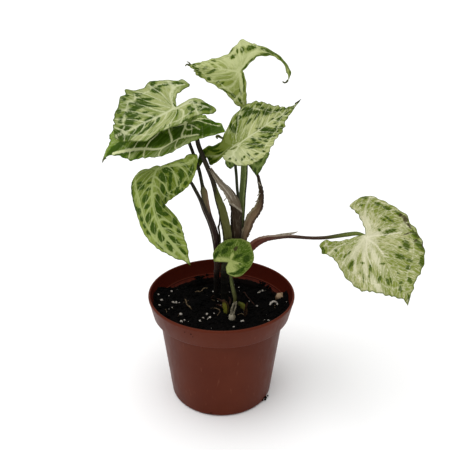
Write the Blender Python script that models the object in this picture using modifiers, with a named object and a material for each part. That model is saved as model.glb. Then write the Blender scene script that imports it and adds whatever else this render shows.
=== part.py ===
"""Potted batik syngonium: a young arrowhead vine with marbled leaves in a round plastic nursery pot.

Run it with blender --background --python part.py, or from Blender's text editor.
Every size below is in millimetres and becomes metres when a shape is made. +Z is up, the origin is the
middle of the pot's base on the ground, and +Y points away from the side that the plant faces.
"""
import math

import bmesh
import bpy
import numpy as np
from mathutils import Vector, noise
from mathutils.geometry import delaunay_2d_cdt

MM = 0.001
SEAT = 0.3

# The pot: a thin moulded wall that tapers down, with a wider collar at the top
POT_HEIGHT = 82.0
LIP_RADIUS = 52.5
COLLAR_HEIGHT = 15.2
COLLAR_FOOT_RADIUS = 49.4
BODY_TOP_RADIUS = 45.2
BASE_RADIUS = 37.5
BASE_ROUNDING = 2.4
WALL = 1.5
FLOOR = 1.8
LIP_ROUNDING = 0.8
POT_SIDES = 56
DRAIN_HOLES = 8
DRAIN_RADIUS = 3.5
DRAIN_CIRCLE = 25.0

# The soil: level in the middle, banked up against the collar in front and at the sides, and low at the back,
# where the collar's inner ledge shows. The banks are (angle in degrees from +X, height at the edge).
SOIL_LEVEL = 66.3
SOIL_RINGS = 10
SOIL_BANKS = [(0, 73.5), (30, 71.0), (60, 68.6), (90, 68.4), (120, 68.5), (150, 71.5), (180, 74.5),
              (225, 73.0), (270, 71.0), (315, 72.0), (360, 73.5)]
BANK_STEEPNESS = 4
LOW_EDGE_RADIUS = 44.5
LOW_EDGE_HEIGHT = 68.4
EDGE_SPREAD = 3.0
EDGE_CALM = 0.1
COARSE_CRUMB = (9.0, 1.3)
FINE_CRUMB = (4.2, 0.9)
CUTTER_ROOM = 8.0
SOLE_INSET = 1.0

# The blades: thin sheets whose edge is finely scalloped and gently waved
BLADE_THICKNESS = 0.7
EDGE_PITCH = 2.6
FACE_PITCH = 5.0
SCALLOP_LENGTH = 6.5
SCALLOP_DEPTH = 0.45
WAVE_REACH = 5.0

# The two crowded stems of the grown plant: x, y, z and radius along each
MAIN_STEM = [(2.5, 14.5, 59.0, 2.9), (2.5, 14.5, 70.0, 2.9), (2.4, 12.5, 84.0, 3.0),
             (2.8, 10.8, 94.0, 3.5), (4.2, 9.6, 103.0, 4.2)]
SIDE_STEM = [(-4.0, 17.2, 59.0, 1.9), (-4.0, 17.2, 70.0, 1.9), (-3.7, 13.8, 86.0, 2.0),
             (-3.2, 11.0, 96.0, 2.2), (-2.8, 9.2, 104.0, 2.5)]

# The leaf stalks: x, y, z, half width and half depth along each, from the crown to just short of the blade.
# Where the half width is the larger, the stalk opens into the papery sheath that once held the next leaf.
STALKS = {
    "petiole_left_upper": dict(leaf="leaf_left_upper", colour="sheath_green", route=[
        (2.4, 7.2, 103.9, 1.6, 1.2), (3.3, 4.9, 110.0, 2.0, 1.3), (5.0, 2.5, 119.5, 2.9, 1.2),
        (3.5, 1.6, 129.0, 3.2, 1.0), (2.0, 0.8, 137.0, 3.2, 1.0), (0.5, 0.0, 144.5, 3.0, 1.0),
        (-2.0, -0.5, 152.5, 2.5, 1.2), (-4.0, -1.0, 159.5, 1.8, 1.5), (-6.0, -1.5, 167.0, 1.6, 1.6),
        (-8.5, -2.0, 174.0, 1.6, 1.6), (-12.0, -2.5, 183.0, 1.6, 1.6), (-15.3, -2.6, 192.5, 1.5, 1.5),
        (-15.8, -1.6, 200.0, 1.3, 1.3), (-15.2, -0.6, 206.0, 1.1, 1.1), (-16.2, -1.4, 211.0, 1.0, 1.0),
        (-20.0, -4.6, 213.6, 1.0, 1.0)]),
    "petiole_left_lower": dict(leaf="leaf_left_lower", colour="stalk_brown", route=[
        (-1.5, 9.9, 104.6, 0.9, 0.9), (-1.6, 8.8, 111.0, 1.1, 1.1), (-2.0, 7.6, 119.5, 1.1, 1.0),
        (-3.0, 6.8, 126.0, 1.2, 1.0), (-5.0, 5.8, 132.5, 1.4, 1.0), (-7.5, 5.0, 139.0, 1.6, 1.0),
        (-9.5, 4.2, 145.5, 1.9, 0.9), (-11.0, 3.4, 151.5, 2.1, 0.8), (-12.0, 2.4, 157.5, 2.0, 0.8),
        (-12.7, 1.6, 162.0, 1.3, 1.1), (-14.8, 0.0, 173.0, 1.2, 1.2), (-17.0, -0.8, 180.0, 1.2, 1.2),
        (-19.0, -1.8, 187.0, 1.1, 1.1), (-20.8, -2.3, 192.5, 1.1, 1.1), (-22.0, -2.8, 199.0, 1.0, 1.0)]),
    "petiole_left_hanging": dict(leaf="leaf_left_hanging", colour="stalk_brown", route=[
        (-3.9, 8.3, 104.6, 1.2, 1.2), (-4.1, 6.8, 113.5, 1.5, 1.5), (-4.8, 5.0, 120.0, 1.5, 1.5),
        (-6.3, 3.2, 128.5, 1.5, 1.5), (-8.7, 1.4, 137.0, 1.5, 1.5), (-11.6, -0.4, 145.0, 1.4, 1.4),
        (-14.2, -1.8, 153.0, 1.3, 1.3), (-17.5, -2.8, 160.5, 1.2, 1.2), (-20.8, -3.2, 166.5, 1.1, 1.1),
        (-27.0, -3.8, 172.0, 1.0, 1.0), (-34.5, -5.2, 175.0, 0.9, 0.9)]),
    "petiole_centre": dict(leaf="leaf_centre", colour="stalk_brown", route=[
        (6.0, 8.3, 103.6, 0.9, 0.9), (7.9, 8.0, 110.0, 1.0, 1.0), (10.5, 7.8, 120.0, 1.0, 1.0),
        (11.5, 6.8, 134.0, 1.0, 1.0), (11.5, 5.6, 143.5, 1.0, 1.0), (11.3, 4.0, 152.5, 1.0, 1.0),
        (10.5, 2.4, 160.0, 1.0, 1.0), (9.8, 0.8, 170.0, 1.0, 1.0), (9.2, -0.5, 176.5, 1.0, 1.0),
        (9.5, -2.0, 183.0, 0.9, 0.9)]),
    "petiole_top": dict(leaf="leaf_top", colour="stalk_green", route=[
        (4.9, 11.9, 104.5, 1.6, 1.6), (8.4, 12.8, 110.5, 1.8, 1.8), (12.5, 13.0, 118.5, 1.8, 1.8),
        (14.0, 12.6, 129.0, 1.9, 1.9), (14.5, 12.4, 140.5, 1.9, 1.9), (14.5, 12.6, 151.5, 1.9, 1.9),
        (15.0, 13.2, 162.0, 2.0, 2.0), (15.0, 14.2, 172.0, 2.0, 2.0), (15.0, 15.5, 182.5, 1.9, 1.9),
        (14.5, 17.0, 196.0, 1.8, 1.8), (14.0, 18.0, 209.5, 1.6, 1.6), (13.0, 18.0, 222.5, 1.4, 1.4),
        (12.0, 17.0, 230.0, 1.1, 1.1)]),
    "petiole_back": dict(leaf="leaf_back", colour="sheath_dry", route=[
        (7.9, 9.6, 103.4, 1.2, 1.0), (11.6, 9.2, 110.0, 2.0, 1.1), (16.0, 9.4, 118.0, 2.3, 1.0),
        (18.2, 10.2, 125.5, 2.8, 0.9), (20.4, 12.2, 132.5, 2.9, 0.8), (23.5, 14.0, 137.0, 2.7, 0.8),
        (26.5, 16.0, 141.5, 2.3, 0.8), (27.5, 17.5, 147.0, 1.9, 0.9), (27.5, 19.0, 152.5, 1.6, 1.0),
        (26.5, 20.5, 158.0, 1.3, 1.1), (25.5, 22.0, 162.0, 1.1, 1.1), (22.5, 24.5, 165.5, 0.9, 0.9),
        (19.5, 27.5, 168.5, 0.8, 0.8)]),
    "petiole_right": dict(leaf="leaf_right", colour="stalk_brown", route=[
        (7.7, 9.9, 97.5, 1.3, 1.2), (9.6, 9.9, 97.7, 1.4, 1.3), (12.6, 9.5, 99.8, 1.7, 1.3),
        (16.0, 9.0, 105.0, 2.2, 1.3), (20.5, 8.5, 111.5, 2.6, 1.2), (25.5, 8.0, 116.5, 2.6, 1.0),
        (32.0, 7.0, 120.0, 2.2, 0.9), (40.0, 6.0, 122.0, 1.7, 0.9), (48.0, 5.5, 122.8, 1.3, 1.0),
        (57.5, 5.0, 122.2, 1.0, 1.0), (65.5, 4.5, 122.0, 1.0, 1.0), (73.5, 4.0, 122.6, 1.0, 1.0),
        (81.0, 3.5, 124.0, 1.0, 1.0), (88.5, 3.0, 125.5, 1.0, 1.0), (95.0, 2.5, 126.3, 1.0, 1.0)]),
    "petiole_seedling": dict(leaf="leaf_seedling", colour="stalk_green", route=[
        (7.5, -12.0, 64.2, 1.4, 1.4), (7.5, -12.0, 65.6, 2.5, 2.5), (7.5, -12.0, 67.4, 2.7, 2.7),
        (7.5, -12.0, 69.4, 2.0, 2.0), (7.6, -12.0, 71.4, 1.2, 1.2), (8.4, -12.0, 77.5, 1.2, 1.2),
        (9.4, -12.0, 82.5, 1.3, 1.3), (8.6, -12.0, 87.0, 1.3, 1.3), (7.4, -11.5, 94.0, 1.2, 1.2),
        (6.6, -10.8, 100.0, 1.1, 1.1), (6.2, -9.8, 105.5, 0.9, 0.9)]),
}

# Loose papery pieces, with the same five numbers: the split sheath round the centre, and two scales at the
# seedling's foot
WRAPS = {
    "sheath_centre": dict(colour="sheath_dry", channel=0.35, route=[
        (6.6, 5.9, 103.6, 2.2, 0.6), (8.3, 5.6, 110.0, 2.8, 0.7), (10.1, 5.0, 121.0, 3.6, 0.6),
        (10.2, 3.9, 135.5, 3.8, 0.55), (10.0, 2.6, 144.5, 3.5, 0.5), (8.0, 1.0, 151.0, 3.0, 0.45),
        (4.5, -1.5, 158.0, 2.4, 0.45), (-0.5, -3.6, 164.5, 1.9, 0.4), (-4.6, -5.0, 171.5, 1.3, 0.4),
        (-6.4, -5.4, 175.5, 0.7, 0.35)]),
    "scale_left": dict(colour="sheath_green", channel=0.3, route=[
        (3.4, -7.5, 64.6, 1.2, 0.5), (3.2, -7.6, 69.5, 1.7, 0.5), (2.2, -7.8, 74.0, 1.6, 0.45),
        (0.9, -8.0, 78.5, 0.5, 0.4)]),
    "scale_right": dict(colour="sheath_dry", channel=0.3, route=[
        (17.0, -9.0, 64.6, 0.8, 0.5), (16.8, -9.2, 69.5, 1.2, 0.5), (14.6, -9.8, 74.5, 1.5, 0.45),
        (11.6, -10.4, 77.6, 0.9, 0.4)]),
}

# A flat blade: the margin from the notch round both sides, one unit from the notch to the tip
FLAT_LEAF = dict(
    sinus=(0.0, -0.03), right_inner=(0.17, -0.25), right_lobe=(0.36, -0.46), right_heel=(0.43, -0.30),
    right_hip=(0.45, -0.06), right_crest=(0.42, 0.14), right_side=(0.37, 0.32), right_neck=(0.29, 0.5),
    right_fore=(0.20, 0.66), right_tip=(0.05, 0.88), tip=(0.0, 1.0),
    left_tip=(-0.05, 0.88), left_fore=(-0.20, 0.66), left_neck=(-0.29, 0.5), left_side=(-0.37, 0.32),
    left_crest=(-0.42, 0.14), left_hip=(-0.45, -0.06), left_heel=(-0.43, -0.30), left_lobe=(-0.36, -0.46),
    left_inner=(-0.17, -0.25))
FLAT_MIDRIB = dict(joint=(0.0, 0.03), mid_near=(0.0, 0.34), mid_far=(0.0, 0.68))

# The top leaf's right lobe runs out into a long curled arm
FLAT_LEAF_WITH_ARM = dict(
    sinus=(0.0, -0.03), right_inner=(0.17, -0.25), under_bend=(0.32, -0.42), under_arm=(0.36, -0.58),
    under_wrist=(0.35, -0.73), right_lobe=(0.36, -0.86), right_wrist=(0.40, -0.74), right_arm=(0.42, -0.60),
    right_bend=(0.43, -0.46), right_heel=(0.44, -0.32), right_sag=(0.45, -0.18))
FLAT_LEAF_WITH_ARM.update((name, place) for name, place in FLAT_LEAF.items()
                          if name not in FLAT_LEAF_WITH_ARM)

# The seedling's leaf is round, with a blunt tip
FLAT_ROUND_LEAF = dict(
    FLAT_LEAF, right_side=(0.41, 0.32), right_crest=(0.45, 0.12), right_neck=(0.33, 0.5),
    right_fore=(0.22, 0.64), right_tip=(0.1, 0.72), tip=(0.0, 0.74), left_tip=(-0.1, 0.72),
    left_fore=(-0.22, 0.64), left_neck=(-0.33, 0.5), left_side=(-0.41, 0.32), left_crest=(-0.45, 0.12))

# Where those points of each blade are on the plant
LEAVES = {
    "leaf_left_upper": dict(flat=FLAT_LEAF, colour="leaf_cream", under=(0.6, 0.2, -0.7), waves=(9, 0.7, 0.4),
        at=dict(
        joint=(-29.0, -9.0, 216.5), sinus=(-28.0, -8.5, 217.5), tip=(-64.5, -27.0, 202.5),
        mid_near=(-40.0, -16.0, 212.0), mid_far=(-53.0, -23.0, 207.0), right_fore=(-66.5, -14.0, 212.0),
        right_neck=(-63.5, -6.0, 220.5), right_side=(-59.5, 2.0, 225.0), right_crest=(-51.0, 7.0, 225.5),
        right_hip=(-44.0, 9.0, 229.5), right_heel=(-31.5, 9.0, 231.0), right_lobe=(-19.5, 2.0, 228.5),
        right_tip=(-65.5, -22.0, 206.0), left_tip=(-60.0, -29.0, 201.0), right_inner=(-27.5, -3.0, 224.5),
        left_fore=(-53.5, -31.0, 201.5), left_neck=(-46.0, -32.0, 202.0), left_side=(-38.5, -31.0, 205.5),
        left_crest=(-29.5, -28.0, 209.5), left_hip=(-20.5, -24.0, 212.5), left_heel=(-11.0, -20.0, 215.0),
        left_lobe=(-3.5, -16.0, 217.5), left_inner=(-17.5, -9.0, 223.0))),
    "leaf_left_lower": dict(flat=FLAT_LEAF, colour="leaf_dark", under=(0.2, 0.6, -0.7), waves=(8, 0.6, 1.9),
        at=dict(
        joint=(-22.0, -4.0, 206.0), sinus=(-19.5, -3.0, 207.5), tip=(-74.0, -18.0, 185.5),
        mid_near=(-38.5, -9.0, 204.0), mid_far=(-57.0, -14.0, 199.5), left_tip=(-70.0, -19.0, 189.0),
        left_fore=(-56.0, -25.0, 187.5), left_neck=(-47.5, -25.0, 189.5), left_side=(-39.0, -23.0, 189.5),
        left_crest=(-30.0, -20.0, 192.0), left_hip=(-19.5, -16.0, 196.5), left_heel=(-8.5, -12.0, 199.5),
        left_lobe=(2.0, -8.0, 202.0), left_inner=(-10.5, -4.0, 210.5), right_fore=(-71.5, -7.0, 198.0),
        right_side=(-61.0, 6.0, 205.5), right_hip=(-38.5, 13.0, 212.0), right_lobe=(-12.0, 10.0, 214.0),
        right_inner=(-15.0, 5.0, 212.5))),
    "leaf_left_hanging": dict(flat=FLAT_LEAF, colour="leaf_mid", under=(0.5, 0.8, -0.2), waves=(8, 0.6, 0.9),
        at=dict(
        joint=(-41.0, -10.0, 177.5), sinus=(-39.5, -9.5, 179.0), tip=(-21.0, -17.0, 111.5),
        mid_near=(-44.5, -14.0, 160.5), mid_far=(-37.5, -17.0, 136.0), right_tip=(-29.5, -17.0, 116.0),
        right_fore=(-43.5, -15.0, 123.5), right_neck=(-52.0, -12.0, 133.0),
        right_side=(-57.0, -8.0, 145.5), right_crest=(-59.5, -4.0, 156.0), right_hip=(-60.0, 0.0, 164.5),
        right_heel=(-57.0, 3.0, 169.5), right_lobe=(-52.0, 2.0, 173.0), right_inner=(-46.0, -5.0, 176.5),
        left_tip=(-22.5, -15.0, 122.0), left_fore=(-25.5, -12.5, 134.0), left_neck=(-31.5, -9.0, 145.0),
        left_side=(-37.5, -6.0, 150.5), left_crest=(-31.0, -7.0, 157.0), left_hip=(-22.0, -8.0, 165.0),
        left_heel=(-16.5, -8.0, 175.5), left_lobe=(-16.0, -9.0, 187.0), left_inner=(-26.0, -11.0, 184.5))),
    "leaf_centre": dict(flat=FLAT_LEAF, colour="leaf_cream", under=(0.0, 0.8, -0.6), waves=(9, 0.6, 2.2),
        at=dict(
        joint=(11.0, -6.0, 192.5), sinus=(9.0, -6.0, 190.5), tip=(52.0, 16.0, 216.5),
        mid_near=(23.5, -2.0, 200.5), mid_far=(35.0, 5.0, 207.0), left_tip=(44.5, 11.0, 213.0),
        left_fore=(35.5, 9.0, 214.5), left_neck=(27.5, 7.0, 216.5), left_side=(19.5, 6.0, 217.0),
        left_crest=(7.5, 6.5, 208.5), left_hip=(-0.5, 7.0, 190.5), left_heel=(-12.5, 5.0, 186.5),
        left_lobe=(-18.5, 4.0, 170.5), left_inner=(-4.5, 0.0, 178.5), right_tip=(45.0, 8.0, 210.0),
        right_fore=(40.0, 0.0, 201.0), right_neck=(35.5, -5.0, 197.5), right_side=(31.0, -10.0, 190.0),
        right_crest=(26.0, -14.0, 186.5), right_hip=(19.0, -18.0, 183.0), right_heel=(10.5, -19.0, 182.5),
        right_lobe=(1.0, -17.0, 186.5), right_inner=(3.5, -11.0, 190.5))),
    "leaf_top": dict(flat=FLAT_LEAF_WITH_ARM, colour="leaf_cream", under=(0.0, 0.8, -0.6),
        waves=(10, 0.4, 1.2), at=dict(
        joint=(10.5, 13.0, 235.5), sinus=(13.5, 14.0, 235.5), tip=(-21.0, 0.0, 241.0),
        mid_near=(0.0, 9.0, 237.5), mid_far=(-10.5, 4.0, 239.0), right_tip=(-18.0, 2.0, 242.0),
        right_fore=(-11.5, 7.0, 242.5), right_neck=(-5.0, 11.0, 244.0), right_side=(3.0, 15.0, 245.5),
        right_crest=(7.0, 18.0, 249.5), right_hip=(13.5, 20.0, 254.5), right_sag=(19.5, 20.0, 251.5),
        right_heel=(26.5, 20.0, 250.0), right_bend=(35.5, 19.0, 246.0), right_arm=(42.0, 17.0, 240.0),
        right_wrist=(44.0, 15.0, 233.0), right_lobe=(39.5, 14.0, 229.5), under_wrist=(41.5, 15.0, 232.5),
        under_arm=(39.0, 17.0, 240.0), under_bend=(32.5, 18.0, 244.0), right_inner=(22.5, 16.0, 244.0),
        left_inner=(16.0, 13.0, 224.5), left_lobe=(16.0, 13.5, 212.0), left_heel=(9.5, 12.0, 214.5),
        left_hip=(2.0, 8.5, 223.0), left_crest=(-5.5, 5.0, 228.5), left_side=(-11.5, 3.0, 232.5),
        left_neck=(-15.5, 2.0, 234.5), left_fore=(-17.0, 1.0, 237.0), left_tip=(-19.5, 0.0, 240.0))),
    "leaf_back": dict(flat=FLAT_LEAF, colour="leaf_mid", under=(0.2, -0.2, -1.0), waves=(7, 0.6, 0.3),
        at=dict(
        joint=(16.5, 28.0, 173.5), tip=(21.0, 66.0, 173.0), mid_near=(17.5, 41.0, 174.5),
        mid_far=(19.5, 54.0, 174.0), right_fore=(29.5, 56.0, 172.0), right_side=(34.5, 45.0, 172.5),
        right_hip=(33.0, 34.0, 171.5), right_lobe=(24.5, 17.0, 164.5), right_inner=(20.5, 23.0, 168.0),
        sinus=(17.0, 27.0, 173.0), left_fore=(11.5, 56.0, 173.5), left_side=(4.5, 45.0, 173.0),
        left_hip=(1.5, 36.0, 172.5), left_lobe=(6.5, 19.0, 168.0), left_inner=(10.5, 23.0, 171.0))),
    "leaf_right": dict(flat=FLAT_LEAF, colour="leaf_cream", under=(-0.3, 0.7, -0.6), waves=(11, 0.7, 1.0),
        at=dict(
        joint=(101.0, -2.0, 126.5), sinus=(99.5, -1.0, 127.5), tip=(123.0, -38.0, 92.5),
        mid_near=(109.0, -10.0, 116.5), mid_far=(117.0, -24.0, 104.0), right_tip=(119.0, -36.0, 96.0),
        right_fore=(109.5, -31.0, 96.5), right_neck=(101.5, -28.0, 97.0), right_side=(93.5, -25.0, 97.0),
        right_crest=(84.5, -20.0, 103.0), right_hip=(78.5, -14.0, 112.5), right_heel=(71.0, -9.0, 116.5),
        right_lobe=(68.0, -6.0, 123.0), right_inner=(84.5, -3.0, 124.0), left_tip=(126.5, -32.0, 99.5),
        left_fore=(133.5, -22.0, 107.5), left_neck=(138.5, -13.0, 116.5), left_side=(136.5, -5.0, 127.0),
        left_crest=(129.0, 4.0, 138.0), left_hip=(116.0, 10.0, 146.5), left_heel=(100.0, 15.0, 149.5),
        left_lobe=(91.0, 13.0, 143.5), left_inner=(96.0, 7.0, 137.0))),
    "leaf_seedling": dict(flat=FLAT_ROUND_LEAF, colour="leaf_mid", under=(0.2, 0.8, -0.5), waves=(5, 0.3, 0.5),
        at=dict(
        joint=(6.0, -8.0, 110.5), sinus=(4.5, -8.5, 109.5), tip=(19.5, -3.0, 122.5),
        mid_near=(10.5, -7.0, 114.5), mid_far=(15.5, -5.0, 118.0), left_fore=(13.5, -1.0, 124.0),
        left_neck=(8.5, 0.0, 123.5), left_side=(4.5, 0.0, 123.0), left_crest=(0.5, 0.0, 121.0),
        left_hip=(-3.0, -2.0, 118.5), left_heel=(-6.0, -5.0, 114.0), left_lobe=(-5.0, -8.0, 110.0),
        left_inner=(-0.5, -9.0, 110.0), right_fore=(22.0, -6.0, 116.0), right_neck=(22.5, -9.0, 113.0),
        right_side=(21.0, -12.0, 110.0), right_crest=(18.0, -14.0, 106.5), right_hip=(13.5, -16.0, 103.0),
        right_heel=(8.5, -16.5, 102.5), right_lobe=(4.0, -15.5, 104.5), right_inner=(3.0, -12.0, 107.5))),
}

# Colours: red, green, blue, then roughness
COLOURS = {
    "plastic": (0.094, 0.027, 0.017, 0.38),
    "soil": (0.012, 0.009, 0.008, 0.95),
    "leaf_cream": (0.42, 0.48, 0.20, 0.45),
    "leaf_mid": (0.13, 0.24, 0.05, 0.45),
    "leaf_dark": (0.06, 0.13, 0.03, 0.42),
    "stalk_green": (0.11, 0.15, 0.05, 0.5),
    "stalk_brown": (0.055, 0.045, 0.03, 0.55),
    "sheath_green": (0.12, 0.13, 0.05, 0.6),
    "sheath_dry": (0.16, 0.11, 0.075, 0.8),
}


def material(name):
    """Make a Principled material from the table of colours, once."""
    made = bpy.data.materials.get(name)
    if made:
        return made
    made = bpy.data.materials.new(name)
    made.use_nodes = True
    shader = made.node_tree.nodes["Principled BSDF"]
    red, green, blue, roughness = COLOURS[name]
    shader.inputs["Base Color"].default_value = (red, green, blue, 1.0)
    shader.inputs["Roughness"].default_value = roughness
    shader.inputs["Metallic"].default_value = 0.0
    return made


def add_mesh(name, points, faces, colour, folder):
    """Make a smooth-shaded mesh object from points in millimetres and faces."""
    mesh = bpy.data.meshes.new(name)
    mesh.from_pydata([Vector(point) * MM for point in points], [], faces)
    mesh.update()
    mesh.shade_smooth()
    mesh.materials.append(material(colour))
    made = bpy.data.objects.new(name, mesh)
    folder.objects.link(made)
    return made


def turned(name, profile, sides, colour, folder):
    """Turn a profile of (radius, height) about the upright axis."""
    points = [(radius, 0.0, height) for radius, height in profile]
    edges = [(i, i + 1) for i in range(len(points) - 1)]
    mesh = bpy.data.meshes.new(name)
    mesh.from_pydata([Vector(point) * MM for point in points], edges, [])
    mesh.materials.append(material(colour))
    made = bpy.data.objects.new(name, mesh)
    folder.objects.link(made)
    screw = made.modifiers.new("turn", "SCREW")
    screw.angle = 2.0 * math.pi
    screw.steps = sides
    screw.render_steps = sides
    screw.use_merge_vertices = True
    screw.merge_threshold = 0.00001
    return made


def applied(thing, folder):
    """Swap an object for its evaluated mesh, in the same place and with the same name."""
    bpy.context.view_layer.update()
    graph = bpy.context.evaluated_depsgraph_get()
    name = thing.name
    mesh = bpy.data.meshes.new_from_object(thing.evaluated_get(graph))
    place = thing.matrix_world.copy()
    bpy.data.objects.remove(thing)
    made = bpy.data.objects.new(name, mesh)
    made.matrix_world = place
    folder.objects.link(made)
    welded = bmesh.new()
    welded.from_mesh(mesh)
    bmesh.ops.remove_doubles(welded, verts=welded.verts, dist=0.00001)
    welded.to_mesh(mesh)
    welded.free()
    return made


def cutter(name, radius, low, high, centre, folder):
    """A round upright cutter between two heights."""
    bpy.ops.mesh.primitive_cylinder_add(vertices=20, radius=radius * MM, depth=(high - low) * MM,
                                        location=Vector((centre[0], centre[1], (low + high) / 2)) * MM)
    made = bpy.context.object
    made.name = name
    for holder in list(made.users_collection):
        holder.objects.unlink(made)
    folder.objects.link(made)
    made.hide_render = True
    made.display_type = "WIRE"
    return made


def cut(thing, tool):
    """Cut a tool out of an object."""
    boolean = thing.modifiers.new("cut " + tool.name, "BOOLEAN")
    boolean.operation = "DIFFERENCE"
    boolean.object = tool
    boolean.solver = "EXACT"


def make_pot(parts, cutters):
    """The nursery pot: one thin turned wall with a collar, a rolled lip and drain holes."""
    collar_foot = POT_HEIGHT - COLLAR_HEIGHT
    slope = (BODY_TOP_RADIUS - BASE_RADIUS) / (collar_foot - BASE_ROUNDING)
    inner_foot = BASE_RADIUS - WALL
    profile = [
        (0.0, FLOOR),
        (inner_foot - 1.0, FLOOR),
        (inner_foot + slope * 1.5, FLOOR + 1.2),
        (BODY_TOP_RADIUS - WALL, collar_foot),
        (COLLAR_FOOT_RADIUS - WALL, collar_foot + WALL),
        (LIP_RADIUS - WALL, POT_HEIGHT - LIP_ROUNDING),
        (LIP_RADIUS - WALL * 0.7, POT_HEIGHT),
        (LIP_RADIUS - WALL * 0.25, POT_HEIGHT),
        (LIP_RADIUS, POT_HEIGHT - LIP_ROUNDING),
        (LIP_RADIUS - 0.3, POT_HEIGHT - 2.6),
        (COLLAR_FOOT_RADIUS, collar_foot),
        (BODY_TOP_RADIUS, collar_foot - 0.2),
        (BASE_RADIUS, BASE_ROUNDING),
        (BASE_RADIUS - BASE_ROUNDING * 0.3, BASE_ROUNDING * 0.3),
        (BASE_RADIUS - BASE_ROUNDING, 0.0),
        (0.0, 0.0)]
    pot = turned("pot", profile, POT_SIDES, "plastic", parts)
    for number in range(DRAIN_HOLES):
        angle = 2.0 * math.pi * (number + 0.5) / DRAIN_HOLES
        centre = (DRAIN_CIRCLE * math.cos(angle), DRAIN_CIRCLE * math.sin(angle))
        cut(pot, cutter("drain_%d" % number, DRAIN_RADIUS, -2.0, FLOOR + 2.0, centre, cutters))
    return pot


def soil_edge(x, y):
    """Radius and height of the soil's edge in the direction of a place: on the low ledge or against the wall."""
    angle = math.degrees(math.atan2(y, x)) % 360.0
    height = np.interp(angle, *zip(*SOIL_BANKS))
    ledge_end, ledge_top = COLLAR_FOOT_RADIUS - WALL, POT_HEIGHT - COLLAR_HEIGHT + WALL
    slope = (LIP_RADIUS - COLLAR_FOOT_RADIUS) / (COLLAR_HEIGHT - WALL - LIP_ROUNDING)
    against_wall = ledge_end + slope * (height - ledge_top) - 2.0 * SEAT
    return min(against_wall, LOW_EDGE_RADIUS + EDGE_SPREAD * (height - LOW_EDGE_HEIGHT)), height


def soil_top(x, y, share):
    """Height of the crumbly surface at a place that is a share of the way out to the edge."""
    height = SOIL_LEVEL + (soil_edge(x, y)[1] - SOIL_LEVEL) * share ** BANK_STEEPNESS
    calm = min(1.0, (1.0 - share) / EDGE_CALM)
    for size, rise in (COARSE_CRUMB, FINE_CRUMB):
        height += calm * rise * noise.noise(Vector((x / size, y / size, rise)))
    return height


def make_soil(parts, cutters):
    """The soil: it fits the pot's taper and ledge, and has an uneven top with a plain hole for each stem."""
    collar_foot = POT_HEIGHT - COLLAR_HEIGHT
    inner_foot = BASE_RADIUS - WALL - 2.0 * SEAT
    inner_top = BODY_TOP_RADIUS - WALL - 2.0 * SEAT
    ledge_slope = WALL / (COLLAR_FOOT_RADIUS - BODY_TOP_RADIUS)
    ledge_end = COLLAR_FOOT_RADIUS - WALL - 2.0 * SEAT
    rim, brim = COLLAR_FOOT_RADIUS, collar_foot + 4.0 * SEAT
    profile = [(rim * ring / SOIL_RINGS, brim) for ring in range(SOIL_RINGS + 1)]
    profile += [(rim, collar_foot + 3.0 * SEAT), (inner_top, collar_foot + SEAT),
                (inner_foot - SOLE_INSET, FLOOR + SEAT), (0.0, FLOOR + SEAT)]
    soil = applied(turned("soil", profile, POT_SIDES, "soil", parts), parts)
    for vertex in soil.data.vertices:
        x, y, z = vertex.co / MM
        share = math.hypot(x, y) / rim
        edge = soil_edge(x, y)[0] / rim
        if z > collar_foot + 3.5 * SEAT:
            vertex.co = Vector((x * edge, y * edge, soil_top(x * edge, y * edge, share))) * MM
        elif z > collar_foot + 2.0 * SEAT:
            edge = min(edge, ledge_end / rim)
            under = collar_foot + 2.0 * SEAT + ledge_slope * (edge * rim - inner_top)
            vertex.co = Vector((x * edge, y * edge, under)) * MM
    soil.data.shade_smooth()
    top = SOIL_LEVEL + CUTTER_ROOM
    for name, stem in (("main", MAIN_STEM), ("side", SIDE_STEM)):
        x, y, low, radius = stem[0]
        cut(soil, cutter("hole_" + name, radius + SEAT, low - SEAT, top, (x, y), cutters))
    seedling = STALKS["petiole_seedling"]["route"]
    knob = max(station[3] for station in seedling)
    cut(soil, cutter("hole_seedling", knob + SEAT, seedling[0][2] - SEAT, top, seedling[0][:2], cutters))
    for name in ("scale_left", "scale_right"):
        x, y, low, half_width = WRAPS[name]["route"][0][:4]
        widest = WRAPS[name]["route"][1][3]
        cut(soil, cutter("hole_" + name, widest + 2.0 * SEAT, low - SEAT, top, (x, y), cutters))
    return soil


def smooth_path(points, steps):
    """Points on a Catmull-Rom curve through the given rows of numbers."""
    rows = np.array(points, float)
    rows = np.vstack([2 * rows[0] - rows[1], rows, 2 * rows[-1] - rows[-2]])
    made = []
    for i in range(1, len(rows) - 2):
        before, start, end, after = rows[i - 1:i + 3]
        for t in np.arange(steps) / steps:
            made.append(0.5 * (2 * start + (end - before) * t
                               + (2 * before - 5 * start + 4 * end - after) * t ** 2
                               + (3 * start - before - 3 * end + after) * t ** 3))
    made.append(rows[-2])
    return np.array(made)


def make_stem(name, stem, colour, parts):
    """A round stem: a curve with a radius at each point."""
    curve = bpy.data.curves.new(name, "CURVE")
    curve.dimensions = "3D"
    curve.bevel_depth = MM
    curve.bevel_resolution = 2
    curve.use_fill_caps = True
    stations = smooth_path(stem, 3)
    spline = curve.splines.new("POLY")
    spline.points.add(len(stations) - 1)
    for point, (x, y, z, radius) in zip(spline.points, stations):
        point.co = (x * MM, y * MM, z * MM, 1.0)
        point.radius = radius
    curve.materials.append(material(colour))
    made = bpy.data.objects.new(name, curve)
    parts.objects.link(made)
    return made


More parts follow.
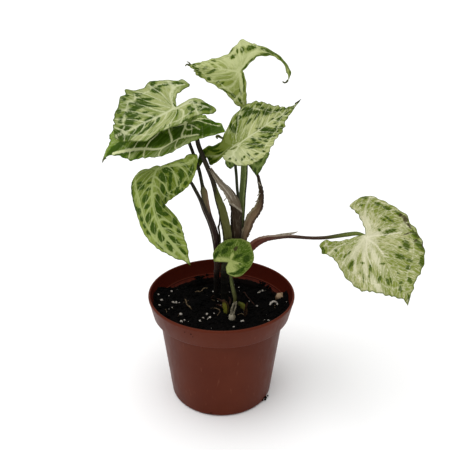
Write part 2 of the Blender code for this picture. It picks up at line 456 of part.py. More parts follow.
def loft(name, route, facing, channel, sides, steps, colour, parts):
    """A stalk or sheath: oval sections along a smooth path, wide across the side that faces out.

    Where a section is wide it also bends back at its edges, like the channel of a real sheath.
    """
    stations = smooth_path(route, steps)
    facing = Vector(facing).normalized()
    rings = []
    for i, station in enumerate(stations):
        before = stations[max(i - 1, 0)]
        after = stations[min(i + 1, len(stations) - 1)]
        along = Vector(after[:3] - before[:3]).normalized()
        out = (facing - along * facing.dot(along)).normalized()
        across = along.cross(out)
        centre = Vector(station[:3])
        half_width, half_depth = station[3:]
        for k in range(sides):
            angle = 2.0 * math.pi * k / sides
            aside = half_width * math.cos(angle)
            bend = channel * max(half_width - half_depth, 0.0) * math.cos(angle) ** 2
            rings.append(centre + across * aside + out * (half_depth * math.sin(angle) - bend))
    faces = []
    for i in range(len(stations) - 1):
        for k in range(sides):
            low, next_low = i * sides + k, i * sides + (k + 1) % sides
            faces.append((low, next_low, next_low + sides, low + sides))
    faces.append(tuple(reversed(range(sides))))
    faces.append(tuple(range(len(rings) - sides, len(rings))))
    made = add_mesh(name, rings, faces, colour, parts)
    solid = bmesh.new()
    solid.from_mesh(made.data)
    bmesh.ops.recalc_face_normals(solid, faces=solid.faces)
    solid.to_mesh(made.data)
    solid.free()
    return made


def plate_spline(flat, placed):
    """The smoothest sheet through given points: a function from flat places to places in space."""
    flat = np.array(flat, float)
    count = len(flat)

    def pull(a, b):
        square = ((a[:, None] - b[None]) ** 2).sum(2)
        return 0.5 * square * np.log(np.maximum(square, 1e-12))

    matrix = np.zeros((count + 3, count + 3))
    matrix[:count, :count] = pull(flat, flat)
    matrix[:count, count] = 1.0
    matrix[count, :count] = 1.0
    matrix[:count, count + 1:] = flat
    matrix[count + 1:, :count] = flat.T
    weights = np.linalg.solve(matrix, np.vstack([np.array(placed, float), np.zeros((3, 3))]))

    def sheet(places):
        places = np.atleast_2d(np.array(places, float))
        return pull(places, flat) @ weights[:count] + weights[count] + places @ weights[count + 1:]

    return sheet


def leaf_sheet(leaf):
    """The sheet of one leaf, and the length of its midrib in millimetres."""
    places = dict(leaf["flat"], **FLAT_MIDRIB)
    names = list(leaf["at"])
    sheet = plate_spline([places[name] for name in names], [leaf["at"][name] for name in names])
    midrib = sheet([(0.0, v) for v in np.linspace(0.0, places["tip"][1], 30)])
    return sheet, np.linalg.norm(np.diff(midrib, axis=0), axis=1).sum() / places["tip"][1]


def sheet_normal(sheet, places):
    """Unit normals of a sheet at flat places."""
    places = np.atleast_2d(np.array(places, float))
    step = 0.004
    across = sheet(places + (step, 0.0)) - sheet(places - (step, 0.0))
    along = sheet(places + (0.0, step)) - sheet(places - (0.0, step))
    normal = np.cross(across, along)
    return normal / np.linalg.norm(normal, axis=1)[:, None]


def flat_margin(flat, unit):
    """The scalloped margin of a flat blade as evenly spaced points, and how far round each lies."""
    names = list(flat)
    middle = names.index("tip")
    right = smooth_path([flat[name] for name in names[:middle + 1]], 16)
    left = smooth_path([flat[name] for name in names[middle:] + ["sinus"]], 16)
    margin = np.vstack([right, left[1:]])
    round_length = np.concatenate([[0.0], np.cumsum(np.linalg.norm(np.diff(margin, axis=0), axis=1))])
    count = max(24, int(round(round_length[-1] * unit / EDGE_PITCH)))
    tip_length = round_length[len(right) - 1]
    tip_step = int(round(count * tip_length / round_length[-1]))
    wanted = np.concatenate([np.linspace(0.0, tip_length, tip_step, endpoint=False),
                             np.linspace(tip_length, round_length[-1], count - tip_step, endpoint=False)])
    points = np.stack([np.interp(wanted, round_length, margin[:, k]) for k in (0, 1)], 1)
    ahead = np.roll(points, -1, axis=0) - np.roll(points, 1, axis=0)
    outward = np.stack([ahead[:, 1], -ahead[:, 0]], 1)
    outward /= np.linalg.norm(outward, axis=1)[:, None]
    calm = np.clip(np.minimum(abs(wanted - tip_length), np.minimum(wanted, round_length[-1] - wanted))
                   * unit / 8.0, 0.0, 1.0)
    scallop = np.sin(2.0 * math.pi * wanted * unit / SCALLOP_LENGTH) * SCALLOP_DEPTH / unit
    return points + outward * (scallop * calm)[:, None], wanted / round_length[-1]


def is_inside(margin, u, v):
    """Whether a flat place lies inside the margin: an upward ray from it crosses the margin an odd count."""
    ahead = np.roll(margin, -1, axis=0)
    spans = (margin[:, 0] > u) != (ahead[:, 0] > u)
    start, end = margin[spans], ahead[spans]
    height = start[:, 1] + (u - start[:, 0]) * (end[:, 1] - start[:, 1]) / (end[:, 0] - start[:, 0])
    return np.count_nonzero(height > v) % 2 == 1


def make_blade(name, leaf, parts):
    """One blade: its flat outline filled with triangles, laid on its sheet, waved at the edge, thickened."""
    sheet, unit = leaf_sheet(leaf)
    margin, around = flat_margin(leaf["flat"], unit)
    gap = FACE_PITCH / unit
    low, high = margin.min(axis=0), margin.max(axis=0)
    inner = [(0.0, v) for v in np.arange(FLAT_MIDRIB["joint"][1], high[1] - gap * 0.5, gap)]
    taken = np.vstack([margin, inner])
    for row, v in enumerate(np.arange(low[1], high[1], gap * 0.87)):
        for u in np.arange(low[0] + (row % 2) * gap / 2, high[0], gap):
            clear = np.linalg.norm(taken - (u, v), axis=1).min() > gap * 0.5
            if clear and is_inside(margin, u, v):
                inner.append((u, v))
    flat = [Vector(point) for point in list(margin) + inner]
    filled = delaunay_2d_cdt(flat, [], [list(range(len(margin)))], 1, 1e-6)
    places = np.array(filled[0])
    away = np.linalg.norm(places[:, None] - margin[None], axis=2)
    nearest = around[away.argmin(axis=1)]
    count, rise, start = leaf["waves"]
    wave = rise * np.sin(2.0 * math.pi * count * nearest + start)
    wave *= np.exp(-(away.min(axis=1) * unit / WAVE_REACH) ** 2)
    wave *= np.clip(np.linalg.norm(places, axis=1) * unit / 10.0 - 0.3, 0.0, 1.0)
    points = sheet(places) + sheet_normal(sheet, places) * wave[:, None]
    made = add_mesh(name, points, [tuple(face) for face in filled[2]], leaf["colour"], parts)
    thick = made.modifiers.new("thickness", "SOLIDIFY")
    thick.thickness = BLADE_THICKNESS * MM
    thick.offset = 0.0
    return made


def blade_rise(sheet, unit, centre, normal, radius):
    """How far a blade curves up, around a stalk's end, above the plane that touches it at the joint."""
    near_end = radius + 0.3 * FACE_PITCH
    reach = np.linspace(-2.0, 2.0, 21) * near_end / unit
    grid = np.stack(np.meshgrid(reach, reach), 2).reshape(-1, 2) + FLAT_MIDRIB["joint"]
    offsets = sheet(grid) - np.array(centre)
    rises = offsets @ np.array(normal)
    aside = np.linalg.norm(offsets - rises[:, None] * np.array(normal), axis=1)
    return max(0.0, rises[aside < near_end].max())


def stalk_route(stalk):
    """A stalk's stations with its last ones square to the blade's underside, just short of it."""
    leaf = LEAVES[stalk["leaf"]]
    sheet, unit = leaf_sheet(leaf)
    joint = [FLAT_MIDRIB["joint"]]
    normal = Vector(sheet_normal(sheet, joint)[0])
    if normal.dot(Vector(leaf["under"])) < 0.0:
        normal = -normal
    centre = Vector(sheet(joint)[0])
    route = list(stalk["route"])
    radius = route[-1][3]
    end_radius = radius * 0.7
    near = BLADE_THICKNESS * 0.65 + SEAT + blade_rise(sheet, unit, centre, normal, end_radius)
    for away, size in ((near + 2.2, radius * 0.85), (near, end_radius)):
        route.append(tuple(centre + normal * away) + (size, size))
    return route


def main():
    for thing in list(bpy.data.objects):
        bpy.data.objects.remove(thing)
    parts = bpy.data.collections.new("potted_batik_syngonium")
    cutters = bpy.data.collections.new("cutters")
    for folder in (parts, cutters):
        bpy.context.scene.collection.children.link(folder)
    make_pot(parts, cutters)
    make_soil(parts, cutters)
    make_stem("stem_main", MAIN_STEM, "stalk_green", parts)
    make_stem("stem_side", SIDE_STEM, "stalk_brown", parts)
    for name, stalk in STALKS.items():
        loft(name, stalk_route(stalk), (0.0, -1.0, 0.1), 0.35, 8, 2, stalk["colour"], parts)
    for name, wrap in WRAPS.items():
        loft(name, wrap["route"], (0.0, -1.0, 0.1), wrap["channel"], 8, 3, wrap["colour"], parts)
    for name, leaf in LEAVES.items():
        make_blade(name, leaf, parts)


main()
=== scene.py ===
"""Potted batik syngonium: the finish of every surface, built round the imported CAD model.

Lengths are in millimetres and become metres when a mesh is made. Places are in the CAD's frame: +Z up, the
origin in the middle of the pot's base, +Y away from the side that the plant faces. The landmarks of the
leaves and the routes of the stalks repeat those of the CAD source, so each finer piece lies on its node.
"""
import math
import random

import bmesh
import bpy
import numpy as np
from mathutils import Matrix, Vector, noise
from mathutils.geometry import delaunay_2d_cdt


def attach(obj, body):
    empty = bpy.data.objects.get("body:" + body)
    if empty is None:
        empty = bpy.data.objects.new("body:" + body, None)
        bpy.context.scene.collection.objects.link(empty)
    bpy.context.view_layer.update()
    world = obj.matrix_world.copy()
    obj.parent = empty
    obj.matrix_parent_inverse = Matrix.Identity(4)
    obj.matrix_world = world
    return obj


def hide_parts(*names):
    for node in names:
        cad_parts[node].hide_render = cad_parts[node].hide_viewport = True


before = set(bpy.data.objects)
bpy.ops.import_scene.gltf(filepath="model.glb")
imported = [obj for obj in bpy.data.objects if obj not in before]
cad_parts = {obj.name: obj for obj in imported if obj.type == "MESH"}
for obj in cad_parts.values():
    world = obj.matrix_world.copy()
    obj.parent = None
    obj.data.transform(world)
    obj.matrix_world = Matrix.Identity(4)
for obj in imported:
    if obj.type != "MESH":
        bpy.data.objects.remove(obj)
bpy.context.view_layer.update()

MM = 0.001

# The stage: the camera's place is in metres, its turns are pitch, yaw and roll in degrees
CAMERA_PLACE = (0.0, -0.379, 0.2972)
CAMERA_TURNS = (23.31, 0.36, 0.19)
CAMERA_LENS = 48.0
SURROUND_STRENGTH = 0.5
LAMP_DIRECTION = (0.22, 0.12, -1.0)
LAMP_SPREAD = 70.0
LAMP_ENERGY = 2.25

# The pot
POT_HEIGHT = 82.0
LIP_RADIUS = 52.5
LIP_ROLL = 0.8
COLLAR_HEIGHT = 15.2
COLLAR_FOOT = POT_HEIGHT - COLLAR_HEIGHT
COLLAR_FOOT_RADIUS = 49.4
BODY_TOP_RADIUS = 45.2
BASE_RADIUS = 37.5
FOOT_ROUND = 2.4
WALL = 1.5
FLOOR = 1.8
LEDGE_RISE = 4.2
POT_SIDES = 240
DRAIN_HOLES = 8
DRAIN_RADIUS = 3.5
DRAIN_CIRCLE = 25.0
DRAIN_SIDES = 36

# Marks along the ledge: number of the profile's point, dark line (1) or pale line of painted highlight (-1),
# and how strongly near-black blotches darken it
LEDGE_MARKS = [(2, 1.0, 1.0), (3, 1.0, 0.8), (4, 0.6, 0.6), (5, -0.7, 0.45), (6, 0.9, 0.4), (7, -0.9, 0.2)]

# The soil's edge: angle in degrees from +X and height. It lies below the ledge at the back.
SOIL_BANKS = [
    (0, 74.4), (10, 74.6), (15, 73.2), (20, 70.0), (25, 68.0), (32, 67.0), (42, 65.6), (47, 65.0),
    (53, 63.8), (58, 64.6), (90, 64.8), (128, 65.6), (140, 67.2), (147, 69.8), (151, 71.0),
    (156, 74.8), (161, 77.0), (168, 77.2), (180, 76.2), (190, 75.0), (225, 73.0), (270, 71.0),
    (315, 72.0), (360, 74.4)]
BANK_STEEPNESS = 4
LOW_EDGE_RADIUS = 43.5
LOW_EDGE_HEIGHT = 67.4
EDGE_SPREAD = 2.2
WALL_GAP = 0.35
EDGE_RING = 46.0

# The soil's surface: its level in the middle, then its mounds, as x, y, height and reach
SOIL_LEVEL = 66.3
SOIL_MOUNDS = [
    (2.6, -10.2, 3.0, 3.0), (12.0, -6.0, 1.6, 4.0), (-2.0, 6.0, 1.6, 5.0), (-30.0, 22.0, 1.4, 4.0),
    (28.0, 26.0, 1.6, 4.0), (-12.0, 30.0, 1.2, 5.0), (0.0, 40.0, -1.5, 10.0), (18.0, 36.0, -1.2, 7.0),
    (-18.0, 38.0, -1.2, 7.0), (48.4, 9.6, 3.6, 2.4)]
SOIL_RINGS = 90
SOIL_SPOKES = 220

# Bumps of the soil's edge and of its surface: width and height
EDGE_WAVES = [(7.0, 1.5), (2.6, 1.0)]
SOIL_WAVES = [(9.0, 1.6), (4.2, 1.2), (1.9, 0.5), (0.9, 0.22)]

# The soil's side, from the edge down to the pot's floor: radius and height. Outside LEDGE_START it rests
# on the ledge, which rises outwards from LEDGE_FOOT at LEDGE_INNER.
SOIL_SIDE = [(46.2, 69.0), (43.3, 67.4), (43.0, 66.4), (35.6, 3.2), (34.4, 2.2)]
LEDGE_START = 44.0
LEDGE_INNER = 43.3
LEDGE_FOOT = 67.2
LEDGE_SLOPE = 0.36

# Crumbs of soil, and its clumps on the ledge: angle, spread in degrees, nearest and farthest radius, count
CRUMBS = 3000
EDGE_LUMPS = 150
LEDGE_CLUMPS = [
    (112, 4.5, 43.2, 48.0, 44), (105, 1.5, 45.5, 48.2, 7), (126, 3.5, 43.2, 45.0, 7),
    (137, 3.0, 43.4, 47.0, 12), (48, 4.0, 44.0, 47.8, 24), (72, 4.0, 43.2, 45.2, 6),
    (38, 3.5, 43.6, 47.4, 16), (86, 2.5, 43.2, 47.4, 12), (93, 3.0, 43.0, 45.0, 6)]

# The height at which a clump lies at each radius of the ledge: radius and height
LEDGE_TOP = [(43.6, 66.0), (44.0, 66.9), (46.4, 68.3), (46.7, 68.9), (48.1, 70.6)]

# How far out a lump of soil may reach within the pot's wall: height and radius
SOIL_ROOM = [(60.0, 44.0), (66.8, 44.6), (67.4, 48.8), (82.0, 51.6)]

# Perlite grains that show in the photograph: x, y and size. The specks are a scatter of smaller ones.
PERLITE = [
    (-46.5, 7.7, 0.9), (-43.8, 2.3, 1.1), (-44.8, -3.2, 0.8), (-38.0, 20.4, 1.2), (-35.4, 3.3, 1.3),
    (-33.5, 4.8, 1.4), (-39.1, 11.2, 0.6), (-35.9, -2.3, 0.8), (-29.2, -10.9, 1.2), (-28.0, -19.4, 1.2),
    (-26.0, -18.2, 0.9), (-10.5, -5.9, 1.1), (-13.2, -11.5, 1.1), (-8.2, -9.9, 1.0), (-5.4, -5.2, 0.8),
    (-15.2, -16.8, 1.1), (-0.3, 6.2, 0.9), (-6.6, 28.0, 0.8), (14.8, -16.4, 1.3), (17.2, -1.7, 1.0),
    (26.2, 3.2, 1.0), (28.5, 23.7, 1.2), (31.4, 27.4, 1.2), (34.1, 28.1, 1.1), (29.8, 25.9, 0.8),
    (30.8, -17.2, 1.3), (33.0, -20.0, 1.0)]
PERLITE_SPECKS = 30

# The pale curl of root in front of the bark chip: x, y, height above the soil and radius
PALE_CURL = [
    (35.4, 0.8, 0.2, 0.7), (36.4, 2.4, 0.8, 0.85), (38.2, 3.2, 1.1, 0.8), (40.2, 2.8, 0.8, 0.7),
    (41.2, 1.2, 0.3, 0.6)]

# Fibres on the soil that show in the photograph: radius, then x and y along them. The loose ones are
# a scatter.
FIBRES = [
    (0.5, [(-27.5, 14.5), (-26.7, 12.0), (-25.6, 6.5), (-23.2, 2.5), (-22.0, 0.5)]),
    (0.5, [(-20.5, 25.0), (-18.5, 27.0), (-16.0, 27.5), (-13.5, 30.0), (-11.0, 30.0)]),
    (0.32, [(11.5, -9.5), (14.5, -7.5), (17.0, -9.0)]),
    (0.32, [(-8.0, 2.0), (-4.0, 0.0), (-1.0, -4.0), (-3.0, -9.0)])]
LOOSE_FIBRES = 10

# The chip of bark: its place, then its lower and upper corners, as x, y and the height above the soil
CHIP_PLACE = (43.7, 8.2)
CHIP_CORNERS = [
    (39.8, 6.0, -0.8), (45.4, 6.2, -0.8), (45.8, 9.6, -0.8), (41.6, 9.8, -0.8),
    (39.7, 6.2, 1.9), (45.1, 6.5, 1.9), (45.5, 9.3, 3.7), (41.4, 9.4, 3.1)]

# Soil stuck to the outside of the pot: x, y, z and size
POT_DIRT = [
    (-24.0, -45.9, 77.3, 0.35), (-19.9, -47.7, 76.9, 0.45), (-18.8, -47.7, 74.8, 0.3),
    (-7.5, -36.9, 2.8, 0.5), (-9.4, -36.2, 1.9, 0.35), (1.2, -35.2, 0.9, 0.5), (2.6, -35.5, 1.2, 0.35),
    (31.8, -19.8, 3.0, 0.9), (33.2, -18.4, 1.8, 1.1), (32.6, -20.4, 1.4, 0.8), (34.6, -16.4, 1.6, 0.7),
    (30.6, -22.4, 2.2, 0.6)]

# The blades
BLADE_THICKNESS = 0.5
FACE_PITCH = 0.85
SCALLOP_LENGTH = 6.5
CALM_LENGTH = 8.0
WAVE_REACH = 5.0
QUILT_HEIGHT = 0.22
RIDGE_HEIGHT = 0.25

# The veins of a flat blade, in units of its length: the gap between side veins, the distance from the
# margin of the one that runs along it, and the rib that runs into each back lobe. The side veins fan out
# round the joint and run side by side, at FAN_SLOPE and curving forward, from there to the tip.
VEIN_SPACING = 0.15
COLLECTIVE_VEIN = 0.075
FAN_SLOPE = 0.9
FAN_PITCH = 0.28
VEIN_CURVE = 0.5
LOBE_RIB = [(0.0, 0.03), (0.16, -0.10), (0.29, -0.26), (0.35, -0.40)]

# The stems: two mottled colours, then x, y, z and radius along them
STEM_STEPS = 24
STEM_SIDES = 32
SCAR_SPACING = 9.5
FIRST_SCAR = 4.7
STEMS = {
    "stem_main": dict(slot="green_stalk", low=(28, 27, 14), high=(58, 60, 30), route=[
        (2.5, 14.5, 59.0, 2.9), (2.5, 14.5, 70.0, 2.9), (2.4, 12.5, 84.0, 3.0), (2.8, 10.8, 94.0, 3.5),
        (4.2, 9.6, 103.0, 4.2)]),
    "stem_side": dict(slot="brown_stalk", low=(38, 24, 18), high=(66, 48, 38), route=[
        (-4.0, 17.2, 59.0, 1.9), (-4.0, 17.2, 70.0, 1.9), (-3.7, 13.8, 86.0, 2.0), (-3.2, 11.0, 96.0, 2.2),
        (-2.8, 9.2, 104.0, 2.5)]),
}

# The leaf stalks and papery pieces: x, y, z, half width and half depth. Shades are colours along the length
# (share of the way, then red, green, blue as seen); left and right are those of an edge, from a place across
# the stalk (-1 to 1) outwards. A line is one pale streak, on the round stalks a painted highlight: its
# place, half width, start, end and colour. Slant shifts the colours from one edge to the other, channel is
# how deeply a wide part is hollowed, and torn is how ragged the thin edges are. The gap is the one between
# a stalk and its blade.
STALK_STEPS = 9
STALK_SIDES = 28
STALK_GAP = 0.3
STALKS = {
    "petiole_left_upper": dict(
        leaf="leaf_left_upper", slot="green_sheath", torn=0.15,
        shades=[(0.0, 58, 56, 24), (0.14, 66, 66, 28), (0.28, 84, 84, 42), (0.43, 80, 84, 40),
                (0.47, 60, 64, 28), (0.49, 36, 32, 20), (0.62, 50, 44, 34), (0.75, 38, 34, 24),
                (1.0, 44, 44, 26)],
        right=(0.3, [(0.0, 54, 54, 22), (0.25, 86, 86, 44), (0.44, 84, 88, 42), (0.505, 72, 80, 34),
                     (0.52, 32, 28, 18), (1.0, 34, 30, 20)]),
        left=(-0.55, [(0.0, 24, 26, 10), (0.46, 24, 26, 10), (0.52, 28, 24, 16), (1.0, 28, 26, 16)]),
        route=[
            (2.4, 7.2, 103.9, 1.6, 1.2), (3.3, 4.9, 110.0, 2.0, 1.3), (4.3, 2.5, 119.5, 3.1, 1.2),
            (3.5, 1.6, 129.0, 3.2, 1.0), (2.0, 0.8, 137.0, 3.2, 1.0), (0.5, 0.0, 144.5, 3.0, 1.0),
            (-2.0, -0.5, 152.5, 2.5, 1.2), (-4.0, -1.0, 159.5, 1.8, 1.5), (-6.0, -1.5, 167.0, 1.6, 1.6),
            (-8.5, -2.0, 174.0, 1.6, 1.6), (-12.0, -2.5, 183.0, 1.6, 1.6), (-15.3, -2.6, 192.5, 1.5, 1.5),
            (-15.8, -1.6, 200.0, 1.3, 1.3), (-15.2, -0.6, 206.0, 1.1, 1.1), (-16.2, -1.4, 211.0, 1.0, 1.0),
            (-20.0, -4.6, 213.6, 1.0, 1.0)]),
    "petiole_left_lower": dict(
        leaf="leaf_left_lower", slot="brown_stalk", torn=0.1,
        shades=[(0.0, 48, 32, 26), (0.3, 50, 34, 28), (0.37, 62, 48, 36), (0.41, 112, 94, 72),
                (0.5, 116, 102, 72), (0.57, 102, 96, 64), (0.59, 84, 84, 52), (0.605, 32, 34, 18),
                (1.0, 30, 32, 16)],
        right=(0.3, [(0.0, 40, 26, 22), (0.37, 66, 46, 38), (0.43, 140, 112, 94), (0.54, 124, 106, 80),
                     (0.59, 92, 86, 58), (0.605, 28, 30, 16), (1.0, 28, 30, 16)]),
        left=(-0.45, [(0.0, 34, 26, 20), (0.38, 40, 36, 22), (0.45, 58, 58, 30), (0.58, 54, 58, 30),
                      (0.61, 26, 30, 14), (1.0, 26, 30, 14)]),
        route=[
            (-1.5, 9.9, 104.6, 0.9, 0.9), (-1.9, 8.8, 111.0, 1.1, 1.1), (-2.6, 7.6, 119.5, 1.2, 1.0),
            (-3.9, 6.8, 126.0, 1.3, 1.0), (-6.0, 5.8, 132.5, 1.5, 1.0), (-8.2, 5.0, 139.0, 1.6, 1.0),
            (-9.8, 4.2, 145.5, 1.9, 0.9), (-11.1, 3.4, 151.5, 2.3, 0.8), (-12.0, 2.4, 157.5, 2.3, 0.8),
            (-12.9, 1.6, 162.0, 1.3, 1.1), (-14.8, 0.0, 173.0, 1.2, 1.2), (-17.0, -0.8, 180.0, 1.2, 1.2),
            (-19.0, -1.8, 187.0, 1.1, 1.1), (-20.8, -2.3, 192.5, 1.1, 1.1), (-22.0, -2.8, 199.0, 1.0, 1.0)]),
    "petiole_left_hanging": dict(
        leaf="leaf_left_hanging", slot="brown_stalk", torn=0.0,
        shades=[(0.0, 46, 28, 26), (0.35, 46, 32, 28), (0.5, 40, 32, 24), (0.7, 32, 30, 18),
                (1.0, 30, 30, 16)],
        left=(-0.6, [(0.0, 34, 28, 24), (0.5, 34, 30, 24), (1.0, 26, 26, 14)]),
        # The line is a painted highlight down the round stalk
        line=(-0.3, 0.16, 0.12, 0.66, 118, 112, 102),
        route=[
            (-3.9, 8.3, 104.6, 1.3, 1.3), (-4.0, 6.8, 113.5, 1.9, 1.8), (-4.6, 5.0, 120.0, 2.0, 1.8),
            (-6.1, 3.2, 128.5, 2.0, 1.8), (-8.5, 1.4, 137.0, 1.9, 1.7), (-11.5, -0.4, 145.0, 1.7, 1.6),
            (-14.2, -1.8, 153.0, 1.3, 1.3), (-17.5, -2.8, 160.5, 1.2, 1.2), (-20.8, -3.2, 166.5, 1.1, 1.1),
            (-27.0, -3.8, 172.0, 1.0, 1.0), (-34.5, -5.2, 175.0, 0.9, 0.9)]),
    "petiole_centre": dict(
        leaf="leaf_centre", slot="brown_stalk", torn=0.0,
        shades=[(0.0, 34, 30, 16), (0.5, 30, 34, 16), (1.0, 40, 46, 24)],
        route=[
            (6.0, 8.3, 103.6, 0.9, 0.9), (7.9, 8.0, 110.0, 1.0, 1.0), (10.5, 7.8, 120.0, 1.0, 1.0),
            (11.5, 6.8, 134.0, 1.0, 1.0), (11.5, 5.6, 143.5, 1.0, 1.0), (11.3, 4.0, 152.5, 1.0, 1.0),
            (10.5, 2.4, 160.0, 1.0, 1.0), (9.8, 0.8, 170.0, 1.0, 1.0), (9.2, -0.5, 176.5, 1.0, 1.0),
            (9.5, -2.0, 183.0, 0.9, 0.9)]),
    "petiole_top": dict(
        leaf="leaf_top", slot="green_stalk", torn=0.0,
        shades=[(0.0, 30, 30, 14), (0.2, 40, 44, 20), (0.33, 84, 96, 46), (0.6, 98, 112, 58),
                (1.0, 116, 128, 74)],
        right=(0.5, [(0.0, 22, 24, 10), (0.5, 30, 36, 14), (1.0, 60, 70, 32)]),
        left=(-0.55, [(0.0, 52, 58, 28), (0.3, 74, 86, 40), (0.6, 84, 98, 48), (1.0, 100, 114, 62)]),
        # The line is a painted highlight down the round stalk
        line=(0.25, 0.16, 0.3, 0.95, 142, 154, 100),
        route=[
            (4.9, 11.9, 104.5, 1.6, 1.6), (8.4, 12.8, 110.5, 1.8, 1.8), (12.5, 13.0, 118.5, 1.8, 1.8),
            (14.0, 12.6, 129.0, 1.9, 1.9), (14.5, 12.4, 140.5, 2.1, 2.0), (14.6, 12.6, 151.5, 2.4, 2.1),
            (15.3, 13.2, 162.0, 2.5, 2.2), (15.6, 14.2, 172.0, 2.4, 2.2), (15.4, 15.5, 182.5, 2.1, 2.0),
            (14.5, 17.0, 196.0, 1.8, 1.8), (14.0, 18.0, 209.5, 1.6, 1.6), (13.0, 18.0, 222.5, 1.4, 1.4),
            (12.0, 17.0, 230.0, 1.1, 1.1)]),
    "petiole_back": dict(
        leaf="leaf_back", slot="dry_sheath", torn=0.55,
        shades=[(0.0, 78, 60, 42), (0.2, 108, 88, 66), (0.35, 130, 108, 84), (0.5, 118, 96, 72),
                (0.62, 84, 66, 48), (0.7, 56, 42, 32), (1.0, 40, 32, 22)],
        right=(0.3, [(0.0, 62, 46, 32), (0.35, 82, 62, 44), (0.55, 62, 42, 32), (0.7, 44, 32, 26),
                     (1.0, 36, 28, 20)]),
        left=(-0.45, [(0.0, 96, 80, 58), (0.3, 156, 142, 116), (0.5, 146, 132, 102), (0.66, 112, 102, 70),
                      (0.78, 72, 64, 42), (1.0, 42, 34, 24)]),
        route=[
            (7.9, 9.6, 103.4, 1.2, 1.0), (11.6, 9.2, 110.0, 2.0, 1.1), (15.4, 9.4, 118.0, 2.5, 1.0),
            (17.6, 10.2, 125.5, 3.3, 0.9), (20.3, 12.2, 132.5, 3.7, 0.8), (23.8, 14.0, 137.0, 3.5, 0.8),
            (26.6, 16.0, 141.5, 2.8, 0.8), (27.8, 17.5, 147.0, 2.1, 0.9), (27.8, 19.0, 152.5, 1.7, 1.0),
            (26.5, 20.5, 158.0, 1.3, 1.1), (25.5, 22.0, 162.0, 1.1, 1.1), (22.5, 24.5, 165.5, 0.9, 0.9),
            (19.5, 27.5, 168.5, 0.8, 0.8)]),
    "petiole_right": dict(
        leaf="leaf_right", slot="brown_stalk", torn=0.2,
        shades=[(0.0, 80, 38, 28), (0.15, 98, 52, 40), (0.3, 96, 52, 42), (0.42, 80, 54, 44),
                (0.52, 58, 38, 30), (0.76, 60, 44, 34), (0.84, 84, 90, 42), (1.0, 112, 124, 60)],
        left=(-0.4, [(0.0, 108, 62, 48), (0.28, 124, 84, 70), (0.36, 146, 128, 112), (0.54, 126, 112, 100),
                     (0.58, 62, 44, 36), (0.76, 70, 56, 42), (0.85, 60, 68, 28), (1.0, 90, 104, 46)]),
        route=[
            (7.7, 9.9, 97.5, 1.3, 1.2), (9.6, 9.9, 97.7, 1.4, 1.3), (12.6, 9.5, 99.8, 1.7, 1.3),
            (16.0, 9.0, 105.0, 2.4, 1.3), (20.5, 8.5, 111.8, 3.1, 1.2), (25.5, 8.0, 117.0, 3.0, 1.0),
            (32.0, 7.0, 120.4, 2.3, 0.9), (40.0, 6.0, 122.0, 1.7, 0.9), (48.0, 5.5, 122.8, 1.4, 1.0),
            (57.5, 5.0, 122.2, 1.2, 1.0), (65.5, 4.5, 122.0, 1.2, 1.0), (73.5, 4.0, 122.6, 1.3, 1.1),
            (81.0, 3.5, 124.0, 1.5, 1.2), (88.5, 3.0, 125.5, 1.6, 1.3), (95.0, 2.5, 126.3, 1.4, 1.2)]),
    "petiole_seedling": dict(
        leaf="leaf_seedling", slot="green_stalk", torn=0.0,
        shades=[(0.0, 150, 144, 126), (0.14, 160, 152, 132), (0.3, 110, 104, 78), (0.42, 84, 84, 44),
                (0.6, 96, 100, 60), (1.0, 74, 88, 36)],
        right=(0.3, [(0.0, 120, 112, 96), (0.14, 128, 120, 100), (0.3, 84, 78, 54), (0.42, 56, 58, 26),
                     (1.0, 52, 62, 24)]),
        route=[
            (7.5, -12.0, 64.2, 1.4, 1.4), (7.5, -12.0, 65.6, 2.5, 2.5), (7.5, -12.0, 67.4, 2.7, 2.7),
            (7.5, -12.0, 69.4, 2.0, 2.0), (7.6, -12.0, 71.4, 0.6, 0.6), (8.6, -12.0, 77.5, 0.6, 0.6),
            (9.6, -12.0, 82.5, 1.3, 1.3), (8.8, -12.0, 87.0, 1.4, 1.4), (7.4, -11.5, 94.0, 1.3, 1.3),
            (6.6, -10.8, 100.0, 1.1, 1.1), (6.2, -9.8, 105.5, 0.9, 0.9)]),
    "sheath_centre": dict(
        leaf=None, slot="dry_sheath", torn=0.3, channel=0.35, slant=0.06,
        shades=[(0.0, 46, 36, 25), (0.3, 52, 40, 28), (0.535, 44, 34, 24), (0.55, 156, 146, 128),
                (0.575, 100, 88, 72), (0.75, 126, 116, 100), (0.9, 118, 108, 92), (1.0, 84, 74, 60)],
        right=(0.45, [(0.0, 38, 28, 20), (0.53, 40, 30, 20), (0.55, 150, 140, 120), (0.58, 92, 80, 64),
                      (0.8, 84, 74, 60), (1.0, 80, 70, 56)]),
        left=(-0.55, [(0.0, 28, 22, 14), (0.53, 30, 24, 16), (0.55, 160, 150, 132), (0.7, 146, 138, 120),
                      (1.0, 100, 90, 74)]),
        line=(-0.1, 0.14, 0.6, 0.98, 176, 168, 152),
        route=[
            (6.6, 5.9, 103.6, 2.2, 0.6), (8.3, 5.6, 110.0, 2.8, 0.7), (10.1, 5.0, 121.0, 3.7, 0.6),
            (10.2, 3.9, 135.5, 4.0, 0.55), (10.0, 2.6, 144.5, 3.9, 0.5), (8.0, 1.0, 151.6, 3.7, 0.45),
            (4.2, -1.5, 158.8, 3.0, 0.45), (-0.7, -3.6, 165.3, 2.2, 0.4), (-4.7, -5.0, 171.8, 1.5, 0.4),
            (-7.0, -5.6, 176.6, 0.6, 0.35)]),
    "scale_left": dict(
        leaf=None, slot="green_sheath", torn=0.3, channel=0.3,
        shades=[(0.0, 66, 64, 22), (0.4, 118, 120, 36), (0.75, 130, 128, 44), (0.9, 84, 68, 34),
                (1.0, 70, 44, 30)],
        right=(0.2, [(0.0, 40, 36, 16), (0.5, 66, 56, 26), (1.0, 60, 38, 26)]),
        route=[
            (3.4, -7.5, 64.6, 1.2, 0.5), (3.4, -7.6, 70.5, 2.0, 0.5), (2.8, -7.8, 75.0, 2.2, 0.45),
            (1.4, -8.0, 79.4, 0.8, 0.4)]),
